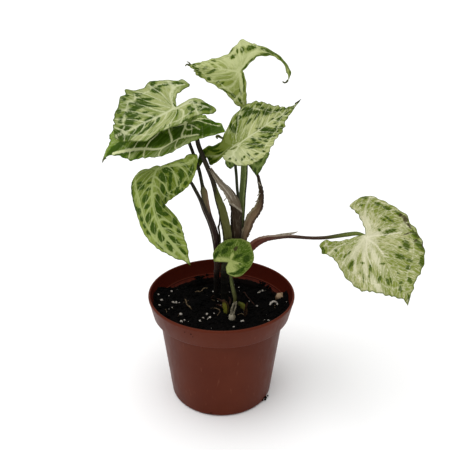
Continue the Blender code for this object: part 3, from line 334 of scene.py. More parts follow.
    "scale_right": dict(
        leaf=None, slot="dry_sheath", torn=0.3, channel=0.3,
        shades=[(0.0, 34, 22, 15), (0.4, 72, 48, 30), (0.65, 104, 106, 36), (0.85, 92, 98, 34),
                (1.0, 70, 74, 30)],
        route=[
            (17.0, -9.0, 64.6, 0.8, 0.5), (17.2, -9.2, 70.5, 1.5, 0.5), (15.2, -9.8, 75.2, 2.0, 0.45),
            (11.8, -10.4, 78.6, 1.2, 0.4)]),
}

# One side of a flat blade's margin, from the notch to the tip, in units of the length from notch to tip
FLAT_SIDE = dict(
    inner=(0.17, -0.25), lobe=(0.36, -0.46), heel=(0.43, -0.30), hip=(0.45, -0.06), crest=(0.42, 0.14),
    side=(0.37, 0.32), neck=(0.29, 0.5), fore=(0.20, 0.66), tip=(0.05, 0.88))
FLAT_MIDRIB = dict(joint=(0.0, 0.03), mid_near=(0.0, 0.34), mid_far=(0.0, 0.68))


def flat_blade(side, length):
    """The margin of a flat blade: from the notch up its right side to the tip, and down the mirrored left."""
    right = {"right_" + name: place for name, place in side.items()}
    left = {"left_" + name: (-u, v) for name, (u, v) in reversed(side.items())}
    return dict(sinus=(0.0, -0.03), **right, tip=(0.0, length), **left)


FLAT_LEAF = flat_blade(FLAT_SIDE, 1.0)

# The seedling's leaf is round, with a blunt tip
FLAT_ROUND_LEAF = flat_blade(dict(FLAT_SIDE, crest=(0.45, 0.12), side=(0.41, 0.32), neck=(0.33, 0.5),
                                  fore=(0.22, 0.64), tip=(0.1, 0.72)), 0.74)

# The top leaf's right lobe runs out into a long curled arm
FLAT_LEAF_WITH_ARM = dict(
    sinus=(0.0, -0.03), right_inner=(0.17, -0.25), under_bend=(0.32, -0.42), under_arm=(0.36, -0.58),
    under_wrist=(0.36, -0.73), right_lobe=(0.36, -0.86), right_wrist=(0.40, -0.74), right_arm=(0.42, -0.60),
    right_bend=(0.43, -0.46), right_heel=(0.44, -0.32), right_sag=(0.45, -0.18))
for point_name, point_place in FLAT_LEAF.items():
    FLAT_LEAF_WITH_ARM.setdefault(point_name, point_place)

# Where those points of each blade are on the plant
LANDMARKS = {
    "leaf_left_upper": dict(
        joint=(-29.0, -9.0, 216.5), sinus=(-28.0, -8.5, 217.5), tip=(-64.5, -27.0, 202.5),
        mid_near=(-40.0, -16.0, 212.0), mid_far=(-53.0, -23.0, 207.0), right_fore=(-66.5, -14.0, 212.0),
        right_neck=(-63.5, -6.0, 220.5), right_side=(-59.5, 2.0, 225.0), right_crest=(-51.0, 7.0, 225.5),
        right_hip=(-44.0, 9.0, 229.5), right_heel=(-31.5, 9.0, 231.0), right_lobe=(-19.5, 2.0, 228.5),
        right_tip=(-65.5, -22.0, 206.0), left_tip=(-60.0, -29.0, 201.0), right_inner=(-27.5, -3.0, 224.5),
        left_fore=(-53.5, -31.0, 201.5), left_neck=(-46.0, -32.0, 202.0), left_side=(-38.5, -31.0, 205.5),
        left_crest=(-29.5, -28.0, 209.5), left_hip=(-20.5, -24.0, 212.5), left_heel=(-11.0, -20.0, 215.0),
        left_lobe=(-3.5, -16.0, 217.5), left_inner=(-17.5, -9.0, 223.0)),
    "leaf_left_lower": dict(
        joint=(-22.0, -4.0, 206.0), sinus=(-19.5, -3.0, 207.5), tip=(-74.0, -18.0, 185.5),
        mid_near=(-38.5, -9.0, 204.0), mid_far=(-57.0, -14.0, 199.5), left_tip=(-70.0, -19.0, 189.0),
        left_fore=(-56.0, -25.0, 187.5), left_neck=(-47.5, -25.0, 189.5), left_side=(-39.0, -23.0, 189.5),
        left_crest=(-30.0, -20.0, 192.0), left_hip=(-19.5, -16.0, 196.5), left_heel=(-8.5, -12.0, 199.5),
        left_lobe=(2.0, -8.0, 202.0), left_inner=(-10.5, -4.0, 210.5), right_fore=(-71.5, -7.0, 198.0),
        right_side=(-61.0, 6.0, 205.5), right_hip=(-38.5, 13.0, 212.0), right_lobe=(-12.0, 10.0, 214.0),
        right_inner=(-15.0, 5.0, 212.5)),
    "leaf_left_hanging": dict(
        joint=(-41.0, -10.0, 177.5), sinus=(-39.5, -9.5, 179.0), tip=(-21.0, -17.0, 111.5),
        mid_near=(-44.5, -14.0, 160.5), mid_far=(-37.5, -17.0, 136.0), right_tip=(-29.5, -17.0, 116.0),
        right_fore=(-43.5, -15.0, 123.5), right_neck=(-52.0, -12.0, 133.0),
        right_side=(-57.0, -8.0, 145.5), right_crest=(-59.5, -4.0, 156.0), right_hip=(-60.0, 0.0, 164.5),
        right_heel=(-57.0, 3.0, 169.5), right_lobe=(-52.0, 2.0, 173.0), right_inner=(-46.0, -5.0, 176.5),
        left_tip=(-22.5, -15.0, 122.0), left_fore=(-25.5, -12.5, 134.0), left_neck=(-31.5, -9.0, 145.0),
        left_side=(-37.5, -6.0, 150.5), left_crest=(-31.0, -7.0, 157.0), left_hip=(-22.0, -8.0, 165.0),
        left_heel=(-16.5, -8.0, 175.5), left_lobe=(-16.0, -9.0, 187.0), left_inner=(-26.0, -11.0, 184.5)),
    "leaf_centre": dict(
        joint=(11.0, -6.0, 192.5), sinus=(9.0, -6.0, 190.5), tip=(52.0, 16.0, 216.5),
        mid_near=(23.5, -2.0, 200.5), mid_far=(35.0, 5.0, 207.0), left_tip=(44.5, 11.0, 213.0),
        left_fore=(35.5, 9.0, 214.5), left_neck=(27.5, 7.0, 216.5), left_side=(19.5, 6.0, 217.0),
        left_crest=(7.5, 6.5, 208.5), left_hip=(-0.5, 7.0, 190.5), left_heel=(-12.5, 5.0, 186.5),
        left_lobe=(-18.5, 4.0, 170.5), left_inner=(-4.5, 0.0, 178.5), right_tip=(45.0, 8.0, 210.0),
        right_fore=(40.0, 0.0, 201.0), right_neck=(35.5, -5.0, 197.5), right_side=(31.0, -10.0, 190.0),
        right_crest=(26.0, -14.0, 186.5), right_hip=(19.0, -18.0, 183.0), right_heel=(10.5, -19.0, 182.5),
        right_lobe=(1.0, -17.0, 186.5), right_inner=(3.5, -11.0, 190.5)),
    "leaf_top": dict(
        joint=(10.5, 13.0, 235.5), sinus=(13.5, 14.0, 235.5), tip=(-21.0, 0.0, 241.0),
        mid_near=(0.0, 9.0, 237.5), mid_far=(-10.5, 4.0, 239.0), right_tip=(-18.0, 2.0, 242.0),
        right_fore=(-11.5, 7.0, 242.5), right_neck=(-5.0, 11.0, 244.0), right_side=(3.0, 15.0, 245.5),
        right_crest=(7.0, 18.0, 249.5), right_hip=(13.5, 20.0, 254.5), right_sag=(19.5, 20.0, 251.5),
        right_heel=(26.5, 20.0, 250.0), right_bend=(35.5, 19.0, 246.0), right_arm=(42.0, 17.0, 240.0),
        right_wrist=(45.0, 15.0, 232.5), right_lobe=(42.2, 14.4, 228.9), under_wrist=(42.8, 15.0, 232.4),
        under_arm=(39.0, 17.0, 240.0), under_bend=(32.5, 18.0, 244.0), right_inner=(22.5, 16.0, 244.0),
        left_inner=(16.0, 13.0, 224.5), left_lobe=(16.0, 13.5, 212.0), left_heel=(9.5, 12.0, 214.5),
        left_hip=(2.0, 8.5, 223.0), left_crest=(-5.5, 5.0, 228.5), left_side=(-11.5, 3.0, 232.5),
        left_neck=(-15.5, 2.0, 234.5), left_fore=(-17.0, 1.0, 237.0), left_tip=(-19.5, 0.0, 240.0)),
    "leaf_back": dict(
        joint=(16.5, 28.0, 173.5), tip=(21.0, 66.0, 173.0), mid_near=(17.5, 41.0, 174.5),
        mid_far=(19.5, 54.0, 174.0), right_fore=(29.5, 56.0, 172.0), right_side=(34.5, 45.0, 172.5),
        right_hip=(33.0, 34.0, 171.5), right_lobe=(24.5, 17.0, 164.5), right_inner=(20.5, 23.0, 168.0),
        sinus=(17.0, 27.0, 173.0), left_fore=(11.5, 56.0, 173.5), left_side=(4.5, 45.0, 173.0),
        left_hip=(1.5, 36.0, 172.5), left_lobe=(6.5, 19.0, 168.0), left_inner=(10.5, 23.0, 171.0)),
    "leaf_right": dict(
        joint=(101.0, -2.0, 126.5), sinus=(99.5, -1.0, 127.5), tip=(123.0, -38.0, 92.5),
        mid_near=(109.0, -10.0, 116.5), mid_far=(117.0, -24.0, 104.0), right_tip=(119.0, -36.0, 96.0),
        right_fore=(109.5, -31.0, 96.5), right_neck=(101.5, -28.0, 97.0), right_side=(93.5, -25.0, 97.0),
        right_crest=(84.5, -20.0, 103.0), right_hip=(78.5, -14.0, 112.5), right_heel=(71.0, -9.0, 116.5),
        right_lobe=(68.0, -6.0, 123.0), right_inner=(84.5, -3.0, 124.0), left_tip=(126.5, -32.0, 99.5),
        left_fore=(133.5, -22.0, 107.5), left_neck=(138.5, -13.0, 116.5), left_side=(136.5, -5.0, 127.0),
        left_crest=(129.0, 4.0, 138.0), left_hip=(116.0, 10.0, 146.5), left_heel=(100.0, 15.0, 149.5),
        left_lobe=(91.0, 13.0, 143.5), left_inner=(96.0, 7.0, 137.0)),
    "leaf_seedling": dict(
        joint=(6.0, -8.0, 110.5), sinus=(4.5, -8.5, 109.5), tip=(19.5, -3.0, 122.5),
        mid_near=(10.5, -7.0, 114.5), mid_far=(15.5, -5.0, 118.0), left_fore=(13.5, -1.0, 124.0),
        left_neck=(8.5, 0.0, 123.5), left_side=(4.5, 0.0, 123.0), left_crest=(0.5, 0.0, 121.0),
        left_hip=(-3.0, -2.0, 118.5), left_heel=(-6.0, -5.0, 114.0), left_lobe=(-5.0, -8.0, 110.0),
        left_inner=(-0.5, -9.0, 110.0), right_fore=(22.0, -6.0, 116.0), right_neck=(22.5, -9.0, 113.0),
        right_side=(21.0, -12.0, 110.0), right_crest=(18.0, -14.0, 106.5), right_hip=(13.5, -16.0, 103.0),
        right_heel=(8.5, -16.5, 102.5), right_lobe=(4.0, -15.5, 104.5), right_inner=(3.0, -12.0, 107.5)),
}

# The looks of each blade. Colours are as seen: ground, mid and dark are its three tones, vein_colour is the
# palest one, and rim is that of the edge, dark green where none is given.
# under: a direction that the underside faces. waves: their number round the margin, height and start.
# scallop: height of the margin's scallops. peaks: points or dents of the margin: u, v, height and reach.
# loose: strength of the loose dark flecks. bold: how much the streaks grow. striped: strength of the stripes
# along the veins. mottle: strength of small blotches, partly the leaf's own mottle and partly painted light
# and shade of a crinkled surface. ragged: how rough the edges of all marks are.
# vein_width and vein_halo: half width of the side veins, which fade out below 0, and of the pale band on
# each, in mm.
# net: size of the cells between the small veins in mm, their stretch, the share of green ones, and the
# strength of the pale lines between them. light_share: strength of the lights.
# A patch is u, v, half length, half width and direction in degrees from the u axis: streaks are dark green,
# tints are soft and green, lights are soft and pale, dry ones are brown and plain ones have no veins. The
# streak in the notch of the left upper leaf is painted shade, and so are the first three tints and the plain
# patches on the centre leaf's left lobe; the top leaf's lights are partly a painted highlight.
# veins: extra pale lines, as half width in mm and then places.
LEAVES = {
    "leaf_left_upper": dict(
        flat=FLAT_LEAF, slot="cream_leaf", under=(0.6, 0.2, -0.7), waves=(9, 0.7, 0.4),
        ground=(156, 163, 104), mid=(98, 116, 38), dark=(48, 72, 0), loose=0.15, vein_width=0.3,
        vein_halo=0.7,
        vein_colour=(196, 200, 158), net=(2.4, 0.3, 0.5, 0.4), bold=0.06, striped=0.7,
        scallop=0.22, peaks=[
            (0.40, 0.30, 2.4, 2.0), (0.35, 0.40, -0.7, 1.6), (0.455, -0.02, 0.9, 1.8),
            (0.44, -0.12, -0.5, 1.6), (0.42, -0.41, 2.4, 1.5), (-0.36, -0.46, 0.6, 2.0),
            (-0.41, -0.41, 0.6, 0.8)],
        streaks=[
            (-0.06, 0.66, 0.11, 0.042, 100), (-0.01, 0.49, 0.15, 0.026, 107),
            (0.085, 0.625, 0.11, 0.030, 115), (0.07, 0.53, 0.05, 0.012, 90), (0.115, 0.51, 0.05, 0.014, 92),
            (-0.10, 0.47, 0.09, 0.020, 100), (0.17, 0.48, 0.10, 0.018, 92), (0.165, 0.39, 0.09, 0.011, 90),
            (0.205, 0.36, 0.11, 0.016, 80), (0.238, 0.25, 0.09, 0.019, 90), (0.14, 0.26, 0.08, 0.011, 70),
            (0.29, 0.28, 0.05, 0.010, 92), (0.33, 0.24, 0.05, 0.015, 95), (-0.035, 0.328, 0.045, 0.024, 152),
            (0.33, -0.005, 0.065, 0.033, 85), (0.42, -0.04, 0.05, 0.022, 120), (0.36, -0.10, 0.03, 0.014, 85),
            (0.36, -0.18, 0.04, 0.018, 88), (0.365, -0.26, 0.035, 0.018, 85), (0.37, -0.35, 0.04, 0.026, 80),
            (-0.22, 0.07, 0.06, 0.010, 175), (-0.16, 0.038, 0.08, 0.011, 165),
            (-0.43, -0.03, 0.04, 0.016, 90), (-0.30, -0.14, 0.045, 0.026, 35),
            (-0.25, -0.22, 0.07, 0.017, 50), (-0.35, -0.18, 0.05, 0.011, 110),
            (-0.37, -0.28, 0.05, 0.012, 90), (-0.33, -0.27, 0.03, 0.010, 80), (-0.38, -0.12, 0.04, 0.014, 70),
            (-0.33, -0.36, 0.06, 0.042, 60), (0.015, 0.75, 0.05, 0.014, 110), (-0.10, 0.75, 0.05, 0.022, 60),
            (0.16, 0.63, 0.03, 0.013, 115), (0.13, 0.69, 0.03, 0.012, 115), (0.22, 0.58, 0.025, 0.018, 120),
            (0.28, 0.46, 0.025, 0.018, 110), (0.31, 0.39, 0.025, 0.018, 110), (0.10, 0.40, 0.05, 0.010, 85),
            (-0.34, 0.28, 0.07, 0.007, 172), (-0.33, 0.22, 0.07, 0.007, 170), (-0.32, 0.16, 0.07, 0.007, 172),
            # (0.045, -0.03) is painted shade: the dark hollow in the notch by the joint
            (-0.05, 0.41, 0.05, 0.010, 100), (0.045, -0.03, 0.04, 0.014, 150), (-0.14, 0.57, 0.05, 0.012, 95),
            (0.0, 0.84, 0.06, 0.032, 92), (0.03, 0.90, 0.05, 0.022, 60), (-0.04, 0.88, 0.04, 0.018, 100),
            (0.05, 0.76, 0.05, 0.018, 112), (-0.05, 0.80, 0.05, 0.018, 75)],
        tints=[
            (0.29, 0.47, 0.22, 0.045, 116), (-0.34, -0.30, 0.16, 0.09, 80), (0.42, -0.02, 0.08, 0.035, 95),
            (-0.08, 0.68, 0.12, 0.09, 110), (0.16, 0.60, 0.16, 0.05, 118), (0.37, -0.30, 0.12, 0.05, 85),
            (-0.40, 0.05, 0.12, 0.03, 92), (-0.20, 0.05, 0.14, 0.04, 170), (0.0, 0.86, 0.16, 0.14, 90),
            (0.02, 0.92, 0.1, 0.1, 90), (-0.37, 0.3, 0.2, 0.03, 105), (-0.27, 0.52, 0.16, 0.03, 120)]),
    "leaf_left_lower": dict(
        flat=FLAT_LEAF, slot="dark_leaf", under=(0.2, 0.6, -0.7), waves=(8, 0.6, 1.9),
        ground=(110, 134, 42), mid=(84, 112, 22), dark=(54, 82, 4), loose=0.7, vein_width=-0.4, vein_halo=0.6,
        vein_colour=(236, 240, 184), light_share=0.2, net=(3.4, 0.4, 0.3, 0.12), bold=0.05, striped=0.6,
        scallop=0.2, peaks=[
            (-0.31, 0.49, 1.0, 1.4), (-0.43, 0.14, 1.0, 1.6), (-0.07, -0.12, 4.4, 4.5),
            (-0.15, -0.22, 2.0, 3.0), (-0.02, -0.06, 2.5, 3.0), (-0.29, -0.41, 2.2, 2.6)],
        lights=[(-0.34, 0.36, 0.22, 0.04, 108), (-0.2, 0.7, 0.12, 0.03, 115), (-0.42, 0.0, 0.2, 0.03, 92)],
        streaks=[
            (-0.10, 0.56, 0.17, 0.035, 95), (-0.15, 0.38, 0.14, 0.07, 75), (-0.13, 0.15, 0.14, 0.06, 5),
            (-0.34, -0.12, 0.14, 0.03, 60), (-0.35, -0.30, 0.14, 0.05, 95), (-0.22, 0.66, 0.08, 0.02, 55),
            (-0.17, -0.03, 0.12, 0.03, 40), (-0.24, -0.17, 0.10, 0.025, 48), (-0.26, -0.3, 0.10, 0.03, 70),
            (-0.02, 0.80, 0.10, 0.03, 95), (-0.11, 0.78, 0.05, 0.02, 60), (-0.22, 0.58, 0.05, 0.015, 100)],
        tints=[(-0.10, 0.16, 0.3, 0.2, 20), (-0.35, 0.3, 0.2, 0.08, 100)],
        veins=[
            (0.6, [(0.0, 0.03), (-0.02, 0.3), (-0.04, 0.5), (-0.03, 0.65), (0.02, 0.71)]),
            (0.55, [(-0.06, 0.84), (-0.09, 0.76), (-0.12, 0.66), (-0.14, 0.60), (-0.19, 0.51), (-0.25, 0.41),
                    (-0.28, 0.30), (-0.27, 0.20), (-0.27, 0.13), (-0.31, 0.03)]),
            (0.85, [(0.04, 0.04), (-0.10, 0.07), (-0.21, 0.09), (-0.29, 0.06)]),
            (0.5, [(-0.30, 0.04), (-0.36, -0.06), (-0.395, -0.18)]),
            (0.45, [(-0.17, 0.50), (-0.13, 0.47), (-0.10, 0.41), (-0.05, 0.36)]),
            (0.5, [(-0.25, 0.20), (-0.18, 0.23), (-0.10, 0.26), (-0.02, 0.26)]),
            (0.3, [(-0.08, 0.02), (-0.20, -0.06), (-0.29, -0.13), (-0.34, -0.19)]),
            (0.3, [(-0.06, -0.04), (-0.17, -0.13), (-0.25, -0.22), (-0.29, -0.32), (-0.31, -0.42)]),
            (0.3, [(-0.12, -0.12), (-0.20, -0.22), (-0.23, -0.32)]),
            (0.3, [(-0.17, -0.03), (-0.27, -0.06), (-0.36, -0.06)]),
            (0.3, [(-0.10, 0.07), (-0.2, 0.02), (-0.27, -0.06)]),
            (0.35, [(-0.12, 0.66), (-0.07, 0.60)]), (0.35, [(-0.26, 0.12), (-0.36, 0.13), (-0.43, 0.10)]),
            (0.3, [(-0.28, 0.03), (-0.34, 0.02)]), (0.3, [(-0.19, 0.51), (-0.26, 0.51), (-0.31, 0.49)]),
            (0.3, [(-0.28, 0.30), (-0.34, 0.32), (-0.38, 0.30)]), (0.3, [(-0.12, 0.68), (-0.19, 0.69)])]),
    "leaf_left_hanging": dict(
        flat=FLAT_LEAF, slot="mid_leaf", under=(0.5, 0.8, -0.2), waves=(8, 0.35, 0.9),
        ground=(136, 153, 64), mid=(96, 114, 26), dark=(48, 74, 2), loose=0.3, vein_width=0.3, vein_halo=1.1,
        vein_colour=(172, 184, 118), net=(2.6, 0.4, 0.4, 0.35),
        scallop=0.22, peaks=[(-0.26, 0.57, 1.4, 4.0), (-0.26, -0.37, 3.2, 5.0)],
        streaks=[
            (-0.025, 0.755, 0.055, 0.021, 95), (0.045, 0.77, 0.04, 0.021, 92),
            (-0.015, 0.86, 0.04, 0.011, 90), (0.07, 0.67, 0.045, 0.034, 110), (-0.04, 0.66, 0.07, 0.017, 120),
            (-0.065, 0.60, 0.03, 0.014, 140), (0.118, 0.555, 0.055, 0.039, 130),
            (0.15, 0.455, 0.06, 0.028, 172), (0.14, 0.375, 0.06, 0.016, 160), (0.15, 0.305, 0.06, 0.030, 162),
            (0.09, 0.25, 0.06, 0.014, 165), (0.07, 0.19, 0.06, 0.010, 165), (0.24, 0.15, 0.08, 0.025, 150),
            (0.27, 0.08, 0.06, 0.016, 150), (0.21, 0.535, 0.035, 0.014, 140),
            (0.235, 0.47, 0.035, 0.016, 150), (0.27, 0.405, 0.035, 0.017, 150),
            (0.30, 0.335, 0.045, 0.023, 150), (0.345, 0.295, 0.035, 0.017, 140),
            (0.405, 0.22, 0.08, 0.030, 112), (0.42, 0.11, 0.09, 0.028, 100), (0.43, 0.0, 0.08, 0.021, 95),
            (-0.05, 0.46, 0.075, 0.053, 60), (-0.10, 0.36, 0.07, 0.030, 30), (-0.12, 0.51, 0.05, 0.016, 10),
            (-0.19, 0.42, 0.08, 0.015, 30), (-0.25, 0.36, 0.09, 0.011, 25), (-0.10, 0.62, 0.03, 0.011, 60),
            (-0.15, 0.66, 0.05, 0.013, 50), (-0.19, 0.57, 0.06, 0.021, 30), (-0.23, 0.19, 0.055, 0.041, 160),
            (-0.13, 0.105, 0.06, 0.044, 170), (-0.11, 0.0, 0.05, 0.048, 130),
            (-0.17, -0.04, 0.05, 0.030, 135), (-0.24, 0.04, 0.06, 0.023, 130),
            (-0.33, 0.19, 0.035, 0.021, 120), (-0.35, 0.245, 0.03, 0.015, 120),
            (-0.29, -0.10, 0.05, 0.038, 150), (-0.34, -0.03, 0.04, 0.021, 120),
            (-0.38, 0.06, 0.05, 0.018, 110), (-0.42, 0.05, 0.05, 0.015, 92), (-0.36, 0.13, 0.03, 0.014, 120),
            (-0.25, -0.21, 0.07, 0.021, 20), (-0.365, -0.24, 0.09, 0.030, 96),
            (-0.40, -0.07, 0.03, 0.021, 90), (0.12, 0.72, 0.04, 0.011, 125), (0.15, 0.66, 0.03, 0.011, 125),
            (-0.30, 0.10, 0.04, 0.018, 130), (-0.19, 0.09, 0.04, 0.030, 150), (-0.20, 0.0, 0.03, 0.023, 130)],
        tints=[
            (-0.2, 0.05, 0.2, 0.16, 140), (-0.34, -0.2, 0.2, 0.08, 95), (0.15, 0.3, 0.12, 0.08, 120),
            (0.41, 0.08, 0.22, 0.05, 98), (-0.15, 0.45, 0.16, 0.08, 30), (0.2, 0.1, 0.16, 0.08, 150),
            (0.32, -0.2, 0.2, 0.1, 105)],
        veins=[
            (0.75, [(0.0, 0.0), (0.02, 0.2), (0.03, 0.45), (0.02, 0.7), (0.0, 0.9)]),
            (0.6, [(0.05, 0.86), (0.10, 0.75), (0.16, 0.62), (0.20, 0.5), (0.235, 0.38), (0.28, 0.25),
                   (0.33, 0.12), (0.36, -0.02)]),
            (0.45, [(0.02, 0.62), (0.07, 0.61), (0.15, 0.635)]),
            (0.45, [(0.025, 0.72), (0.08, 0.72), (0.12, 0.70)]),
            (0.45, [(0.025, 0.50), (0.10, 0.50), (0.19, 0.52)]),
            (0.45, [(0.025, 0.41), (0.12, 0.41), (0.22, 0.43)]),
            (0.45, [(0.02, 0.33), (0.11, 0.34), (0.24, 0.36)]), (0.4, [(0.02, 0.82), (0.06, 0.83)]),
            (0.4, [(0.02, 0.22), (0.13, 0.23), (0.28, 0.24)]),
            (0.4, [(0.02, 0.12), (0.14, 0.14), (0.31, 0.15)]),
            (0.45, [(0.01, 0.56), (-0.06, 0.56), (-0.14, 0.60), (-0.20, 0.64)]),
            (0.45, [(0.0, 0.70), (-0.06, 0.72), (-0.11, 0.76)]),
            (0.4, [(0.0, 0.64), (-0.08, 0.66), (-0.14, 0.71)]),
            (0.5, [(0.0, 0.33), (-0.12, 0.31), (-0.25, 0.31), (-0.36, 0.33)]),
            (0.5, [(0.0, 0.24), (-0.14, 0.24), (-0.28, 0.23), (-0.38, 0.19)]),
            (0.5, [(0.0, 0.14), (-0.12, 0.155), (-0.22, 0.14), (-0.33, 0.155), (-0.40, 0.12)]),
            (0.55, [(-0.03, -0.04), (-0.16, -0.05), (-0.26, -0.02), (-0.36, 0.03)]),
            (0.5, [(-0.12, -0.10), (-0.20, -0.14), (-0.33, -0.16), (-0.40, -0.13)]),
            (0.45, [(-0.18, -0.14), (-0.28, -0.28), (-0.33, -0.40)])]),
    "leaf_centre": dict(
        flat=FLAT_LEAF, slot="cream_leaf", under=(0.0, 0.8, -0.6), waves=(9, 0.6, 2.2),
        ground=(180, 185, 124), mid=(98, 114, 28), dark=(44, 66, 0), loose=0.2, vein_width=0.26,
        vein_halo=0.7,
        vein_colour=(200, 204, 160), net=(2.2, 0.4, 0.5, 0.5), bold=-0.1, striped=0.7,
        # Painted shade on the left lobe, which bends away: plain olive, from these patches and the first
        # three tints
        plain=[(-0.34, -0.12, 0.26, 0.16, 10), (-0.32, -0.34, 0.3, 0.2, 60)],
        lights=[(-0.27, -0.21, 0.16, 0.016, 52), (-0.34, -0.40, 0.08, 0.014, 70),
                (0.34, -0.3, 0.2, 0.09, 110), (0.25, -0.14, 0.2, 0.1, 100)],
        light_share=0.5,
        scallop=0.45, peaks=[(-0.265, -0.355, -5.0, 3.4), (-0.2, -0.28, 1.0, 1.6)],
        streaks=[
            (0.075, 0.445, 0.105, 0.045, 50), (0.15, 0.53, 0.088, 0.027, 97), (0.17, 0.48, 0.044, 0.027, 80),
            (-0.17, 0.51, 0.061, 0.045, 80), (-0.155, 0.58, 0.05, 0.019, 8), (-0.235, 0.35, 0.072, 0.019, 70),
            (-0.29, 0.27, 0.061, 0.046, 60), (-0.18, 0.37, 0.066, 0.015, 112),
            (-0.19, 0.25, 0.039, 0.020, 100), (-0.32, 0.18, 0.033, 0.016, 20),
            (-0.30, 0.14, 0.077, 0.016, 165), (0.085, 0.222, 0.055, 0.027, 5), (0.16, 0.20, 0.066, 0.030, 70),
            (0.12, 0.13, 0.044, 0.016, 80), (0.20, 0.12, 0.061, 0.019, 80), (0.24, 0.24, 0.061, 0.026, 70),
            (0.21, 0.42, 0.055, 0.024, 70), (0.24, 0.47, 0.033, 0.018, 70), (0.15, 0.36, 0.05, 0.020, 30),
            (0.14, 0.30, 0.039, 0.016, 20), (0.22, 0.345, 0.039, 0.015, 40), (0.335, 0.222, 0.024, 0.019, 60),
            (0.33, 0.10, 0.033, 0.015, 90), (0.315, -0.01, 0.033, 0.016, 5), (0.36, -0.17, 0.033, 0.011, 130),
            (0.33, -0.10, 0.033, 0.011, 120), (0.35, -0.36, 0.033, 0.011, 120),
            (0.385, 0.0, 0.028, 0.014, 90), (0.35, -0.26, 0.033, 0.011, 125), (0.04, 0.72, 0.061, 0.026, 110),
            (0.01, 0.82, 0.045, 0.022, 90), (-0.06, 0.83, 0.045, 0.016, 60), (-0.11, 0.70, 0.088, 0.024, 75),
            (-0.02, 0.62, 0.05, 0.012, 70), (0.12, 0.60, 0.039, 0.016, 110), (0.16, 0.65, 0.05, 0.022, 112),
            (0.09, 0.84, 0.044, 0.022, 112), (0.0, 0.92, 0.033, 0.016, 90), (-0.02, 0.36, 0.055, 0.011, 60),
            (-0.36, 0.24, 0.044, 0.014, 60), (-0.23, 0.64, 0.055, 0.016, 60), (-0.30, 0.09, 0.11, 0.022, 5),
            (0.26, 0.56, 0.044, 0.014, 125), (0.20, 0.56, 0.033, 0.014, 110), (-0.30, 0.40, 0.055, 0.014, 65),
            (-0.24, 0.45, 0.044, 0.014, 75), (0.06, 0.62, 0.033, 0.011, 80), (-0.31, -0.31, 0.09, 0.030, 60),
            (-0.39, -0.35, 0.10, 0.032, 85), (-0.22, -0.25, 0.07, 0.024, 60), (-0.41, -0.16, 0.10, 0.030, 95),
            (-0.34, -0.17, 0.08, 0.022, 50), (-0.25, -0.14, 0.07, 0.016, 40)],
        tints=[
            # The first three tints are painted shade on the left lobe
            (-0.36, 0.02, 0.34, 0.16, 5), (-0.30, -0.22, 0.40, 0.26, 10), (-0.36, -0.40, 0.40, 0.26, 10),
            (0.0, 0.84, 0.14, 0.09, 90),
            (-0.12, 0.68, 0.14, 0.04, 68), (-0.30, 0.40, 0.20, 0.04, 68), (0.17, 0.62, 0.16, 0.04, 116),
            (0.15, 0.18, 0.10, 0.08, 40), (0.12, 0.48, 0.10, 0.06, 60), (-0.2, 0.52, 0.07, 0.06, 70)]),
    "leaf_top": dict(
        flat=FLAT_LEAF_WITH_ARM, slot="cream_leaf", under=(0.0, 0.8, -0.6), waves=(10, 0.4, 1.2),
        ground=(178, 186, 122), mid=(120, 134, 50), dark=(58, 80, 6), loose=0.15, vein_width=0.24,
        vein_halo=0.7,
        vein_colour=(196, 202, 146), net=(2.4, 0.35, 0.4, 0.4), rim=(112, 126, 62),
        # The crest's lights: partly its paler ground, partly a painted highlight where it faces the light
        lights=[(0.33, -0.03, 0.26, 0.2, 100), (0.40, -0.14, 0.16, 0.1, 90), (0.2, 0.2, 0.2, 0.1, 60)],
        light_share=0.8,
        scallop=0.3, peaks=[(-0.43, 0.22, 0.8, 1.0), (-0.38, 0.34, 0.5, 0.8), (0.455, -0.22, 1.4, 0.9),
                            (0.45, -0.06, 1.2, 0.9), (0.44, 0.04, -1.4, 1.7)],
        streaks=[
            (-0.10, 0.445, 0.095, 0.037, 15), (-0.01, 0.665, 0.053, 0.030, 175),
            (-0.33, 0.135, 0.053, 0.014, 15), (-0.32, 0.08, 0.053, 0.016, 12),
            (-0.38, -0.16, 0.053, 0.025, 100), (-0.25, -0.20, 0.074, 0.016, 60),
            (0.255, 0.165, 0.053, 0.032, 80), (0.30, 0.06, 0.037, 0.016, 0), (0.28, -0.03, 0.047, 0.028, 0),
            (0.33, -0.17, 0.095, 0.037, 135), (0.385, -0.38, 0.105, 0.037, 108),
            (0.40, -0.56, 0.074, 0.030, 92), (0.385, 0.20, 0.074, 0.021, 96), (0.22, 0.50, 0.037, 0.021, 90),
            (0.13, 0.53, 0.026, 0.011, 90), (0.0, 0.835, 0.063, 0.030, 10), (-0.09, 0.745, 0.063, 0.037, 55),
            (-0.17, 0.63, 0.095, 0.015, 65), (-0.20, 0.55, 0.095, 0.013, 60), (-0.28, 0.47, 0.095, 0.016, 60),
            (-0.33, 0.27, 0.053, 0.021, 45), (-0.07, -0.075, 0.074, 0.014, 40),
            (-0.13, -0.14, 0.074, 0.015, 50), (-0.19, -0.21, 0.063, 0.013, 50),
            (0.06, -0.07, 0.074, 0.014, 128), (0.12, -0.16, 0.074, 0.014, 122),
            (0.19, -0.26, 0.084, 0.016, 130), (0.28, -0.34, 0.095, 0.021, 138),
            (0.40, -0.72, 0.147, 0.014, 88), (0.43, -0.25, 0.074, 0.014, 90),
            (-0.42, -0.02, 0.074, 0.014, 90), (0.07, 0.78, 0.053, 0.011, 130),
            (-0.35, -0.30, 0.063, 0.016, 80)],
        tints=[
            (-0.28, -0.18, 0.28, 0.14, 75), (-0.22, 0.52, 0.28, 0.06, 62),
            (0.36, -0.35, 0.22, 0.10, 110), (0.40, -0.62, 0.24, 0.08, 90), (0.0, 0.82, 0.10, 0.08, 60),
            (-0.28, 0.12, 0.14, 0.08, 10), (-0.1, 0.45, 0.12, 0.06, 15)]),
